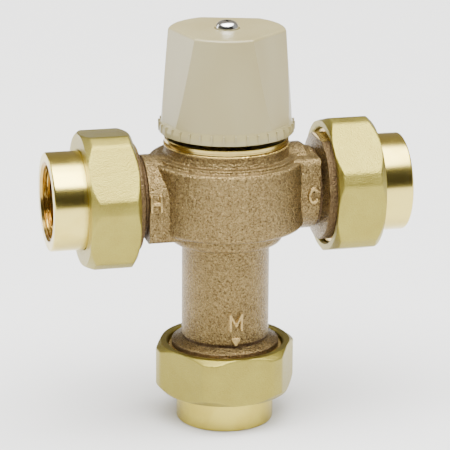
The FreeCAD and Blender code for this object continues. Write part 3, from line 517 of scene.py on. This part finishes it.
@dataclass(frozen=True)
class SealStock(Finish):
    """Rubber or pressed fibre, dull, with flecks."""

    colour: Colour = (0.018, 0.018, 0.018, 1.0)
    fleck: Colour = (0.07, 0.068, 0.062, 1.0)
    flecks: Shares = (0.35, 2.0)
    fleck_range: Shares = (0.55, 0.75)
    fleck_strength: float = 0.7
    fleck_height: float = 0.02
    bloom: Shares = (5.0, 2.0)
    bloom_dullness: float = 0.2

    def paint(self, tree: Tree) -> dict[str, Any]:
        """Flecks and a fine dimple."""
        fleck = tree.noise(*self.flecks).step(*self.fleck_range)
        bloom = tree.noise(*self.bloom)
        return {"Base Color": tree.mix(fleck * self.fleck_strength, self.colour, self.fleck),
                "Roughness": self.roughness + (bloom - 0.5) * self.bloom_dullness,
                "Height": fleck * self.fleck_height}


CAST = CastBronze("cast_bronze", metallic=0.95, roughness=0.24)
# The marks get a lighter copy of the casting's bronze, as a painted highlight on the raised
# strokes.
HIGHLIT_MARK = CastBronze("cast_bronze_mark_highlight", "cast_bronze", metallic=0.94, roughness=0.26, coarse=0.35,
                  dark=(0.20, 0.125, 0.045, 1.0), tan=(0.40, 0.285, 0.115, 1.0))
FORGED = ForgedBrass("forged_brass", metallic=0.96, roughness=0.36)
TURNED = TurnedBrass("turned_brass", metallic=1.0, roughness=0.16,
                     bright=(0.50, 0.385, 0.13, 1.0), stained=(0.40, 0.295, 0.085, 1.0))
TAIL_INLET = TurnedBrass("turned_brass_inlet", "turned_brass", metallic=1.0, roughness=0.15,
                         axis=Axis.INLETS, thread_radius=14.2)
TAIL_OUTLET = TurnedBrass("turned_brass_outlet", "turned_brass", metallic=1.0, roughness=0.24,
                          thread_radius=14.2, bright=(0.55, 0.45, 0.09, 1.0),
                          stained=(0.47, 0.37, 0.065, 1.0))
KNOB = MouldedPlastic("knob_plastic", roughness=0.34, coat=0.15, coat_roughness=0.22, ior=1.52)
PLATED = DrawnMetal("plated_screw", metallic=1.0, roughness=0.06,
                    colour=(0.80, 0.81, 0.82, 1.0), worn=(0.70, 0.71, 0.72, 1.0))
STEEL = DrawnMetal("stainless_steel", metallic=1.0, roughness=0.26)
COPPER = DrawnMetal("element_copper", metallic=1.0, roughness=0.3,
                    colour=(0.80, 0.42, 0.24, 1.0), worn=(0.52, 0.26, 0.14, 1.0))
RUBBER = SealStock("black_rubber", roughness=0.62)
FIBRE = SealStock("gasket_fibre", roughness=0.8, colour=(0.05, 0.045, 0.04, 1.0),
                  fleck=(0.16, 0.14, 0.12, 1.0))
BLACK_ACETAL = MouldedPlastic("black_acetal", roughness=0.4, colour=(0.035, 0.035, 0.04, 1.0),
                              shaded=(0.02, 0.02, 0.024, 1.0))
WHITE_ACETAL = MouldedPlastic("white_acetal", roughness=0.4, colour=(0.80, 0.80, 0.77, 1.0),
                              shaded=(0.70, 0.70, 0.67, 1.0))


# --- meshes ---
def place_object(name: str, data: bpy.types.ID) -> bpy.types.Object:
    """Add an object to the scene.

    Args:
        name: Its name.
        data: Its mesh, light or camera.

    Returns:
        The object.
    """
    made = bpy.data.objects.new(name, data)
    bpy.context.scene.collection.objects.link(made)
    return made


def add_piece(name: str, points: np.ndarray, faces: Faces, finish: Finish, body: str | None,
              crease: float = 32.0) -> bpy.types.Object:
    """Make a mesh piece, dress it and let it ride.

    Args:
        name: The piece's name.
        points: Rows of x, y, z in metres, in the frame.
        faces: Corner numbers of each face.
        finish: The piece's finish.
        body: The body that it moves with, or None for a piece that rides no body.
        crease: Angle in degrees from which an edge stays sharp.

    Returns:
        The piece.
    """
    mesh = bpy.data.meshes.new(name)
    mesh.from_pydata(points.tolist(), [], faces)
    work = bmesh.new()
    work.from_mesh(mesh)
    bmesh.ops.remove_doubles(work, verts=work.verts, dist=SAME_POINT)
    bmesh.ops.recalc_face_normals(work, faces=work.faces)
    work.to_mesh(mesh)
    work.free()
    mesh.shade_smooth()
    mesh.set_sharp_from_angle(angle=math.radians(crease))
    piece = place_object(name, mesh)
    dress(piece, finish, body)
    return piece


def dress(piece: bpy.types.Object, finish: Finish, body: str | None) -> None:
    """Give a new piece its finish and its body.

    Args:
        piece: The piece.
        finish: Its finish.
        body: The body that it moves with, or None for a piece that rides no body.
    """
    piece.data.materials.clear()
    piece.data.materials.append(finish.material())
    if body:
        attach(piece, body)
    LOG.info("%s: %d faces", piece.name, len(piece.data.polygons))


def measured(node: str) -> tuple[np.ndarray, Faces]:
    """Read a node's mesh.

    Args:
        node: The node's name.

    Returns:
        Its points in metres and its faces.
    """
    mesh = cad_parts[node].data
    mesh.calc_loop_triangles()
    points = np.empty(len(mesh.vertices) * 3, np.float32)
    mesh.vertices.foreach_get("co", points)
    corners = np.empty(len(mesh.loop_triangles) * 3, np.int32)
    mesh.loop_triangles.foreach_get("vertices", corners)
    faces = [tuple(corner) for corner in corners.reshape(-1, 3).tolist()]
    return points.reshape(-1, 3).astype(float), faces


def skin(rows: Sequence[Ring], angles: np.ndarray,
         closed: bool = True) -> tuple[np.ndarray, Faces]:
    """Join rings of points into a surface.

    Args:
        rows: The rings in order.
        angles: Turn of each point, in radians.
        closed: Whether the last ring joins the first.

    Returns:
        The points in millimetres and the faces.
    """
    count = len(angles)
    points = np.concatenate([np.stack((radius * np.cos(angles), radius * np.sin(angles), out),
                                      axis=1) for radius, out in rows])
    faces = []
    for i in range(len(rows) if closed else len(rows) - 1):
        base, following = i * count, (i + 1) % len(rows) * count
        faces += [(base + j, base + (j + 1) % count, following + (j + 1) % count, following + j)
                  for j in range(count)]
    return points, faces


def smooth_min(first: np.ndarray, second: np.ndarray, soft: float) -> np.ndarray:
    """Take the smaller of two lengths, with an edge rounded by soft where they cross."""
    blend = np.clip(0.5 + 0.5 * (second - first) / soft, 0.0, 1.0)
    return second * (1 - blend) + first * blend - soft * blend * (1 - blend)


@dataclass
class Thread:
    """A thread, drawn as a wave that climbs as it goes round.

    Its depth reaches outwards in a bore, and is below zero on a spigot. It dies out towards
    its ends, over a share of the pitch.
    """

    pitch: float
    depth: float
    crest: float
    low: float
    high: float
    taper: float = 0.0
    flank: float = 1.25
    high_fade: float = 1.5
    steps: int = 9

    def rows(self, angles: np.ndarray) -> list[Ring]:
        """Draw the thread.

        Args:
            angles: Turn of each point, in radians.

        Returns:
            Its rings, from its low end to its high end.
        """
        count = int((self.high - self.low) / self.pitch * self.steps)
        made = []
        for out in np.linspace(self.low, self.high, count + 1):
            turns = (out / self.pitch - angles / (2 * math.pi)) % 1.0
            wave = np.clip(np.abs(turns * 2 - 1) * self.flank - (self.flank - 1) / 2, 0.0, 1.0)
            ends = min(1.0, (self.high - out) / self.pitch * self.high_fade,
                       (out - self.low) / self.pitch)
            radius = self.crest + self.taper * (out - self.low) + wave * self.depth * ends
            made.append((radius, np.full_like(angles, out)))
        return made


@dataclass
class BodyCasting:
    """The valve's body, with the union threads cut into its three spigots."""

    spigot_radius: float = 20.5
    face_from_end: float = 19.7
    thread_length: float = 7.1
    near: float = 0.01

    def thread_port(self, port: Port, points: np.ndarray,
                    faces: Faces) -> tuple[np.ndarray, Faces]:
        """Swap the smooth band of a port's spigot for a thread on the same edges.

        Args:
            port: The port.
            points: The body's points in metres.
            faces: The body's faces.

        Returns:
            The points and faces with the thread in them.
        """
        x, y, out = port.unplace(points).T
        high = port.reach - self.face_from_end
        low = high - self.thread_length
        on_band = ((np.abs(np.hypot(x, y) - self.spigot_radius) < self.near)
                   & (out > low - self.near) & (out < high + self.near))
        rim = on_band & (out > high - self.near)
        angles = np.sort(np.arctan2(y[rim], x[rim]))
        angles = angles[np.append(np.diff(angles) > self.near / self.spigot_radius, True)]
        thread = Thread(UNION_PITCH, -UNION_DEPTH, self.spigot_radius, low, high)
        cut, strips = skin(thread.rows(angles), angles, closed=False)
        kept = [face for face in faces if not on_band[list(face)].all()]
        kept += [tuple(len(points) + corner for corner in strip) for strip in strips]
        return np.concatenate((points, port.place(cut))), kept

    def build(self) -> None:
        """Make the body in place of its solid."""
        points, faces = measured("valve_body")
        for port in Port:
            points, faces = self.thread_port(port, points, faces)
        piece = add_piece("body_dressed", points, faces, CAST, "valve")
        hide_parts("valve_body")


@dataclass
class UnionNut:
    """A forged hexagon nut with its thread, turned ends and eased edges."""

    port: Port
    across_flats: float = 46.0
    corner_radius: float = 25.2
    face_radius: float = 23.0
    length: float = 17.2
    outer_chamfer: float = 2.3
    back_chamfer: float = 1.6
    lip: float = 3.4
    lip_ease: float = 0.25
    tail_showing: float = 11.7
    hole_radius: float = 17.45
    thread_crest: float = 20.56
    thread_start: float = 0.5
    thread_runout: float = 0.4
    mouth_share: float = 0.45
    back_shares: Shares = (0.35, 0.7, 0.93)
    face_shares: Shares = (0.93, 0.5, 0.07)
    back_zone: float = 3.2
    outer_zone: float = 3.6
    zone_gap: float = 0.6
    rings: tuple[int, int, int] = (15, 8, 17)
    ease: float = 0.45
    segments: int = 360

    def outside(self, angles: np.ndarray, along: float) -> np.ndarray:
        """Find the radius of the nut's outside: a hexagon cut back by two cones.

        Args:
            angles: Turn of each point, in radians.
            along: Distance from the nut's inner end.

        Returns:
            A radius for each angle.
        """
        turn = np.degrees(angles) - self.port.nut_turn
        aside = np.radians((turn + 30.0) % 60.0 - 30.0)
        hexagon = self.across_flats / 2 / np.cos(aside)
        rise = self.corner_radius - self.face_radius
        near = self.face_radius + rise * along / self.back_chamfer
        far = self.face_radius + rise * (self.length - along) / self.outer_chamfer
        cone = np.full_like(angles, min(near, far))
        turned = smooth_min(cone, np.full_like(angles, self.corner_radius), self.ease)
        return smooth_min(hexagon, turned, self.ease)

    def stations(self) -> np.ndarray:
        """Spread the outside's rings, closer at the chamfers.

        Returns:
            Their distances from the inner end.
        """
        outer = self.length - self.outer_zone
        spans = ((0.0, self.back_zone), (self.back_zone + self.zone_gap, outer - self.zone_gap),
                 (outer, self.length))
        return np.concatenate([np.linspace(low, high, count)
                               for (low, high), count in zip(spans, self.rings)])

    def build(self) -> None:
        """Make the nut in place of its solid."""
        angles = np.linspace(0, 2 * math.pi, self.segments, endpoint=False)
        flat = np.ones_like(angles)
        outer = self.port.reach - self.tail_showing
        inner = outer - self.length
        lip = outer - self.lip
        mouth = self.thread_crest + UNION_DEPTH * self.mouth_share
        rim = self.outside(angles, 0.0)
        rows = [(flat * mouth, flat * inner)]
        rows += [(mouth + (rim - mouth) * share, flat * inner) for share in self.back_shares]
        rows += [(self.outside(angles, along), flat * (inner + along))
                 for along in self.stations()]
        rim = self.outside(angles, self.length)
        rows += [(self.hole_radius + (rim - self.hole_radius) * share, flat * outer)
                 for share in self.face_shares]
        rows += [(flat * radius, flat * out) for radius, out in (
            (self.hole_radius, outer - self.lip_ease), (self.hole_radius, lip + self.lip_ease),
            (self.hole_radius + self.lip_ease, lip), (self.thread_crest + UNION_DEPTH, lip))]
        thread = Thread(UNION_PITCH, UNION_DEPTH, self.thread_crest,
                        inner + self.thread_start, lip - self.thread_runout)
        rows += reversed(thread.rows(angles))
        points, faces = skin(rows, angles)
        piece = add_piece(f"{self.port.label}_nut_dressed", self.port.place(points), faces,
                          FORGED, f"{self.port.label}_nut", crease=40.0)
        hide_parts(f"{self.port.label}_union_nut")


@dataclass
class Tailpiece:
    """A turned tailpiece with a flange inside the nut and a tapped mouth."""

    port: Port
    radius: float = 17.25
    flange_radius: float = 20.3
    flange: float = 2.8
    flange_edge: float = 0.4
    lip_from_end: float = 15.1
    edge: float = 0.8
    edge_turns: Shares = (22.5, 45.0, 67.5, 90.0)
    face_radius: float = 14.9
    mouth_radius: float = 13.85
    mouth_root: float = 13.3
    mouth: float = 0.8
    bore: float = 10.6
    thread_depth: float = 1.15
    thread_crest: float = 12.35
    thread_pitch: float = 1.814
    thread_length: float = 12.7
    thread_taper: float = 0.03
    runout: float = 1.2
    segments: int = 160

    def build(self) -> None:
        """Make the tailpiece in place of its solid."""
        angles = np.linspace(0, 2 * math.pi, self.segments, endpoint=False)
        flat = np.ones_like(angles)
        end = self.port.reach
        lip = end - self.lip_from_end
        back = lip - self.flange
        corners = [(self.bore, back), (self.flange_radius - self.flange_edge, back),
                   (self.flange_radius, back + self.flange_edge), (self.flange_radius, lip),
                   (self.radius, lip), (self.radius, end - self.edge)]
        for turn in map(math.radians, self.edge_turns):
            corners.append((self.radius - self.edge * (1 - math.cos(turn)),
                            end - self.edge * (1 - math.sin(turn))))
        corners += [(self.face_radius, end), (self.mouth_radius, end),
                    (self.mouth_root, end - self.mouth)]
        rows = [(flat * radius, flat * out) for radius, out in corners]
        thread_low = end - self.mouth - self.thread_length
        thread = Thread(self.thread_pitch, self.thread_depth, self.thread_crest, thread_low,
                        end - self.mouth, taper=self.thread_taper)
        rows += reversed(thread.rows(angles))
        rows.append((flat * self.bore, flat * (thread_low - self.runout)))
        points, faces = skin(rows, angles)
        finish = TAIL_OUTLET if self.port is Port.OUTLET else TAIL_INLET
        piece = add_piece(f"{self.port.label}_tail_dressed", self.port.place(points), faces,
                          finish, f"{self.port.label}_tail")
        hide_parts(f"{self.port.label}_tailpiece")


# --- cast marks ---
Stroke = tuple[tuple[float, float], tuple[float, float]]


@dataclass
class CastMark:
    """A raised mark that follows the casting's face, as a smooth rise over its strokes.

    Its skin starts at its root, just under the face, and its back lies deeper, at its base.
    """

    name: str
    middle: tuple[float, float]
    size: tuple[float, float]
    strokes: Sequence[Stroke]
    face: Callable[[np.ndarray, np.ndarray], np.ndarray]
    width: float = 1.15
    height: float = 0.8
    draft: float = 0.36
    root: float = 0.08
    base: float = 0.3
    margin: float = 1.3
    step: float = 0.12
    skin_share: float = 0.999

    def rise(self, across: np.ndarray, up: np.ndarray) -> np.ndarray:
        """Find how far the mark stands over its face.

        Args:
            across: Places across the mark.
            up: Places up it.

        Returns:
            The heights, down to the root's depth below zero away from the strokes.
        """
        nearest = np.full_like(across, np.inf)
        for (x0, z0), (x1, z1) in self.strokes:
            along = np.array([x1 - x0, z1 - z0])
            share = ((across - x0) * along[0] + (up - z0) * along[1]) / (along @ along)
            share = np.clip(share, 0, 1)
            nearest = np.minimum(nearest, np.hypot(across - x0 - share * along[0],
                                                   up - z0 - share * along[1]))
        inside = np.clip((self.width / 2 + self.draft / 2 - nearest) / self.draft, 0, 1)
        crown = inside * inside * (3 - 2 * inside)
        return crown * (self.height + self.root) - self.root

    def build(self) -> None:
        """Make the mark on the valve's casting."""
        wide, tall = (side / 2 + self.margin for side in self.size)
        across, up = np.meshgrid(np.arange(-wide, wide, self.step),
                                 np.arange(-tall, tall, self.step))
        rise = self.rise(across, up)
        x, z = self.middle[0] + across, self.middle[1] + up
        front, back = (np.stack((x, -(self.face(x, z) + level), z + INLET_LEVEL),
                                axis=-1).reshape(-1, 3) * MM for level in (rise, -self.base))
        rows, columns = across.shape
        keep = rise > -self.root * self.skin_share
        corners = [i * columns + j for i in range(rows - 1) for j in range(columns - 1)
                   if keep[i:i + 2, j:j + 2].any()]
        squares = [(corner, corner + 1, corner + columns + 1, corner + columns)
                   for corner in corners]
        used = sorted({index for square in squares for index in square})
        number = {old: new for new, old in enumerate(used)}
        faces = [tuple(number[index] for index in square) for square in squares]
        count = len(used)
        edges = {edge for face in faces for edge in zip(face, face[1:] + face[:1])}
        walls = [(b, a, a + count, b + count) for a, b in sorted(edges) if (b, a) not in edges]
        base = [tuple(index + count for index in reversed(face)) for face in faces]
        # The mark's lighter bronze is a painted highlight.
        add_piece(self.name, np.concatenate((front[used], back[used])), faces + walls + base,
                  HIGHLIT_MARK, "valve", crease=70.0)


def arc(radius_x: float, radius_z: float, start: float, end: float,
        count: int = 14) -> list[Stroke]:
    """Short strokes along an arc.

    Args:
        radius_x: Half width of the arc's ellipse.
        radius_z: Half height of it.
        start: First angle in degrees, from +X towards +Z.
        end: Last angle in degrees.
        count: How many strokes.

    Returns:
        The strokes.
    """
    turns = [math.radians(start + (end - start) * i / count) for i in range(count + 1)]
    knots = [(radius_x * math.cos(turn), radius_z * math.sin(turn)) for turn in turns]
    return list(zip(knots, knots[1:]))


@dataclass
class CastMarks:
    """The marks H, C and M and the outlet's arrow."""

    arm_radius: float = 14.6
    pad_front: float = 14.5
    stem_radius: float = 15.45

    def hot_face(self, _: np.ndarray, z: np.ndarray) -> np.ndarray:
        """How far forward the hot arm's front is, with its pad below the centre line."""
        round_part = np.sqrt(np.maximum(self.arm_radius ** 2 - z ** 2, 0.0))
        return np.where(z < 0, np.maximum(round_part, self.pad_front), round_part)

    def cold_face(self, x: np.ndarray, z: np.ndarray) -> np.ndarray:
        """How far forward the cold arm's front is, with its pad above the centre line."""
        return self.hot_face(x, -z)

    def stem_face(self, x: np.ndarray, _: np.ndarray) -> np.ndarray:
        """How far forward the stem's front is."""
        return np.sqrt(np.maximum(self.stem_radius ** 2 - x ** 2, 0.0))

    def build(self) -> None:
        """Make every mark."""
        letter_h = [((-1.7, -2.5), (-1.7, 2.5)), ((1.7, -2.5), (1.7, 2.5)),
                    ((-1.7, 0.0), (1.7, 0.0))]
        letter_c = arc(1.6, 2.35, 48, 312)
        letter_m = [((-2.0, -2.9), (-2.0, 2.9)), ((2.0, -2.9), (2.0, 2.9)),
                    ((-2.0, 2.7), (0.0, -1.2)), ((2.0, 2.7), (0.0, -1.2))]
        arrow = [((-half, 0.9 - 0.24 * i), (half, 0.9 - 0.24 * i))
                 for i, half in enumerate(np.linspace(1.3, 0.13, 10))]
        for mark in (
                CastMark("mark_h", (-28.0, 1.05), (4.6, 6.2), letter_h, self.hot_face),
                CastMark("mark_c", (28.0, 0.65), (4.2, 6.0), letter_c, self.cold_face),
                CastMark("mark_m", (0.15, -43.6), (5.2, 7.0), letter_m, self.stem_face,
                         width=1.05),
                CastMark("mark_arrow", (0.1, -50.6), (4.0, 3.0), arrow, self.stem_face,
                         width=0.9, margin=0.9)):
            mark.build()


# --- strainers ---
@dataclass
class StrainerCloth:
    """Woven wire cloth on the floor of an inlet's strainer dish."""

    port: Port
    radius: float = 7.6
    pitch: float = 0.62
    wire: float = 0.11
    wire_sides: int = 6
    lift: float = 1.2
    shortest: float = 1e-8
    floor: float = 48.0

    def tree(self) -> bpy.types.NodeTree:
        """Build the tree that lays wires side by side both ways and cuts them to a disc.

        Returns:
            The tree, the same one each time.
        """
        known = bpy.data.node_groups.get("wire_cloth")
        if known:
            return known
        group = bpy.data.node_groups.new("wire_cloth", "GeometryNodeTree")
        face = group.interface
        for label in ("Radius", "Pitch", "Wire"):
            face.new_socket(label, in_out="INPUT", socket_type="NodeSocketFloat")
        face.new_socket("Material", in_out="INPUT", socket_type="NodeSocketMaterial")
        face.new_socket("Geometry", in_out="OUTPUT", socket_type="NodeSocketGeometry")
        tree = Tree(group)
        sizes = tree.node("NodeGroupInput").outputs
        radius, pitch, wire = (Value(tree, sizes[label])
                               for label in ("Radius", "Pitch", "Wire"))

        def vector(sockets: dict[int, Value | float]) -> bpy.types.NodeSocket:
            """Join numbers into a vector."""
            return tree.node("ShaderNodeCombineXYZ", sockets).outputs[0]

        count = (radius * 2.0 / pitch).math("FLOOR")
        line = tree.node("GeometryNodeMeshLine", {
            "Count": count, "Start Location": vector({0: count * pitch * -0.5}),
            "Offset": vector({0: pitch})}, mode="OFFSET")
        rod = tree.node("GeometryNodeMeshCylinder", {
            "Vertices": self.wire_sides, "Radius": wire, "Depth": 1.0})
        place = tree.node("ShaderNodeSeparateXYZ", {
            0: tree.node("GeometryNodeInputPosition").outputs[0]})
        x = Value(tree, place.outputs[0])
        chord = (radius * radius - x * x).most(self.shortest).math("SQRT") * 2.0
        warp = tree.node("GeometryNodeInstanceOnPoints", {
            "Points": line.outputs[0], "Instance": rod.outputs[0],
            "Rotation": (math.pi / 2, 0.0, 0.0), "Scale": vector({0: 1.0, 1: 1.0, 2: chord})})
        weft = tree.node("GeometryNodeTransform", {
            "Geometry": warp.outputs[0], "Rotation": (0.0, 0.0, math.pi / 2),
            "Translation": vector({2: wire * self.lift})})
        both = tree.node("GeometryNodeJoinGeometry", {0: warp.outputs[0]})
        group.links.new(weft.outputs[0], both.inputs[0])
        solid = tree.node("GeometryNodeRealizeInstances", {0: both.outputs[0]})
        dressed = tree.node("GeometryNodeSetMaterial", {
            "Geometry": solid.outputs[0], "Material": sizes["Material"]})
        tree.node("NodeGroupOutput", {"Geometry": dressed.outputs[0]})
        return group

    def build(self) -> None:
        """Make the cloth on its dish."""
        name = f"{self.port.label}_strainer_cloth"
        holder = place_object(f"{name}_source", bpy.data.meshes.new(name))
        weave = holder.modifiers.new("weave", "NODES")
        weave.node_group = self.tree()
        sockets = {item.name: item.identifier for item in weave.node_group.interface.items_tree}
        for label, value in (("Radius", self.radius * MM), ("Pitch", self.pitch * MM),
                             ("Wire", self.wire * MM), ("Material", STEEL.material())):
            weave[sockets[label]] = value
        seen = bpy.context.evaluated_depsgraph_get()
        mesh = bpy.data.meshes.new_from_object(holder.evaluated_get(seen))
        bpy.data.objects.remove(holder)
        points = np.array([vertex.co for vertex in mesh.vertices]) / MM
        points[:, 2] += self.floor + self.wire
        for vertex, place in zip(mesh.vertices, self.port.place(points)):
            vertex.co = place
        dress(place_object(name, mesh), STEEL, "valve")


# --- springs ---
@dataclass
class Springs:
    """The coils that give way between the valve's casting and a moving piece.

    Each one is listed with the body that it pushes and the axis that it lies along.
    """

    coils: dict[str, tuple[str, int]] = field(default_factory=lambda: {
        "hot_check_spring": ("hot_check", 0), "cold_check_spring": ("cold_check", 0),
        "return_spring": ("carrier", 2)})

    def build(self) -> None:
        """Make each coil in place of its solid, riding no body; its end near the centre is
        found, but not used.
        """
        for node, (body, axis) in self.coils.items():
            points, faces = measured(node)
            low, high = points.min(axis=0), points.max(axis=0)
            held, free = (low + high) / 2, (low + high) / 2
            held[axis], free[axis] = sorted((low[axis], high[axis]), key=abs)
            piece = add_piece(f"{node}_dressed", points, faces, STEEL, None)
            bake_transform(piece)
            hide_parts(node)


# --- carried over ---
@dataclass
class CarriedPieces:
    """The nodes that keep their measured solids and get their finishes here."""

    finishes: dict[str, Finish] = field(default_factory=lambda: {
        "o_ring": RUBBER, "check_seal": RUBBER, "gasket": FIBRE, "bonnet": TURNED,
        "adjusting_spindle": TURNED, "adjusting_carrier": TURNED, "temperature_knob": KNOB,
        "knob_screw": PLATED, "wax_element": COPPER, "shuttle": BLACK_ACETAL,
        "spring_seat": BLACK_ACETAL, "check_poppet": BLACK_ACETAL,
        "check_housing": WHITE_ACETAL})

    def finish(self, node: str) -> Finish:
        """The finish of the first entry that a node's name holds, or else steel."""
        return next((finish for part, finish in self.finishes.items() if part in node), STEEL)

    def dress(self) -> None:
        """Give every visible node its finish."""
        for node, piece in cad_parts.items():
            if piece.hide_render:
                continue
            finish = self.finish(node)
            piece.data.materials.clear()
            piece.data.materials.append(finish.material())
            LOG.info("%s: %s", node, finish.name)


# --- studio ---
def outwards(azimuth: float, elevation: float) -> Vector:
    """Direction out from the valve, from degrees round from the front and degrees up."""
    turn, up = math.radians(azimuth), math.radians(elevation)
    return Vector((math.sin(turn) * math.cos(up), -math.cos(turn) * math.cos(up), math.sin(up)))


@dataclass(frozen=True)
class CameraFit:
    """Where the camera stands and what it takes in."""

    target: tuple[float, float, float] = (-0.00025, 0.0, 0.07141)
    azimuth: float = -13.80
    elevation: float = 17.04
    roll: float = 0.393
    distance: float = 0.8825
    sensor: float = 36.0
    lens: float = 200.43

    def build(self) -> None:
        """Add the camera and make it the scene's own."""
        roll = math.radians(self.roll)
        back = outwards(self.azimuth, self.elevation)
        level = Vector((0.0, 0.0, 1.0)).cross(back).normalized()
        upright = back.cross(level)
        right = level * math.cos(roll) + upright * math.sin(roll)
        up = upright * math.cos(roll) - level * math.sin(roll)
        data = bpy.data.cameras.new("camera")
        data.sensor_width, data.lens = self.sensor, self.lens
        camera = place_object("camera", data)
        place = Matrix((right, up, back)).transposed().to_4x4()
        place.translation = Vector(self.target) + back * self.distance
        camera.matrix_world = place
        bpy.context.scene.camera = camera


@dataclass(frozen=True)
class SoftBox:
    """One soft light that faces the valve."""

    name: str
    azimuth: float
    elevation: float
    distance: float
    width: float
    height: float
    power: float

    def build(self) -> None:
        """Add the light."""
        back = outwards(self.azimuth, self.elevation)
        data = bpy.data.lights.new(self.name, "AREA")
        data.shape, data.size, data.size_y = "RECTANGLE", self.width, self.height
        data.energy = self.power
        light = place_object(self.name, data)
        aim = Vector((0, 0, AIM_HEIGHT))
        light.matrix_world = (Matrix.Translation(aim + back * self.distance)
                              @ back.to_track_quat("Z", "Y").to_matrix().to_4x4())


@dataclass(frozen=True)
class Studio:
    """The pale floor, the surround and the soft lights."""

    floor_width: float = 6.0
    floor_pale: Colour = (0.77, 0.77, 0.765, 1.0)
    floor_deep: Colour = (0.74, 0.74, 0.735, 1.0)
    floor_mottle: float = 60.0
    floor_roughness: float = 0.75
    overhead: float = 11.0
    left: Colour = (0.12, 0.115, 0.10, 1.0)
    right: Colour = (0.50, 0.50, 0.48, 1.0)
    front: Colour = (0.05, 0.045, 0.04, 1.0)
    back: Colour = (0.36, 0.32, 0.26, 1.0)
    above: Colour = (1.0, 1.0, 1.0, 1.0)
    to_right: Shares = (-0.3, 0.5)
    to_back: Shares = (0.0, 0.6)
    from_front: Shares = (-0.75, -0.25)
    to_above: Shares = (0.66, 0.78)
    past_above: Shares = (0.12, 0.42)

    def lay_floor(self) -> None:
        """Add the floor that the valve stands on."""
        wide = self.floor_width / 2
        mesh = bpy.data.meshes.new("floor")
        mesh.from_pydata([(-wide, -wide, 0), (wide, -wide, 0), (wide, wide, 0),
                          (-wide, wide, 0)], [], [(0, 1, 2, 3)])
        floor = place_object("floor", mesh)
        made = bpy.data.materials.new("floor")
        made.use_nodes = True
        tree = Tree(made.node_tree)
        tone = tree.noise(self.floor_mottle, 2.0)
        shader = tree.node("ShaderNodeBsdfPrincipled", {
            "Base Color": tree.mix(tone, self.floor_deep, self.floor_pale),
            "Roughness": self.floor_roughness})
        tree.node("ShaderNodeOutputMaterial", {"Surface": shader.outputs[0]})
        mesh.materials.append(made)

    def surround(self) -> None:
        """Add a surround that differs to each side and is brightest above."""
        world = bpy.data.worlds.new("surround")
        bpy.context.scene.world = world
        world.use_nodes = True
        sky = Tree(world.node_tree)
        aim = sky.node("ShaderNodeSeparateXYZ", {
            0: sky.node("ShaderNodeTexCoord").outputs["Generated"]})
        x, y, z = (Value(sky, aim.outputs[i]) for i in range(3))
        colour = sky.mix(x.step(*self.to_right), self.left, self.right)
        colour = sky.mix(y.step(*self.to_back), colour, self.back)
        colour = sky.mix(1.0 - y.step(*self.from_front), colour, self.front)
        overhead = z.step(*self.to_above) * (1.0 - y.step(*self.past_above))
        glow = sky.node("ShaderNodeBackground", {
            0: sky.mix(overhead, colour, self.above),
            1: overhead * (self.overhead - 1.0) + 1.0})
        sky.node("ShaderNodeOutputWorld", {0: glow.outputs[0]})

    def build(self) -> None:
        """Add the floor, the surround and the lights."""
        self.lay_floor()
        self.surround()
        SoftBox("top_box", azimuth=-25.0, elevation=66.0, distance=1.0, width=0.9, height=0.7,
                power=9.0).build()
        SoftBox("left_box", azimuth=-131.0, elevation=10.0, distance=1.1, width=0.35,
                height=0.8, power=3.2).build()


def main() -> None:
    """Build the valve's dressed pieces and its studio."""
    logging.basicConfig(level=logging.INFO, format="%(name)s %(message)s")
    CameraFit().build()
    BodyCasting().build()
    for port in Port:
        UnionNut(port).build()
        Tailpiece(port).build()
    for port in (Port.HOT, Port.COLD):
        StrainerCloth(port).build()
    CastMarks().build()
    Springs().build()
    CarriedPieces().dress()
    Studio().build()


if __name__ == "__main__":
    main()
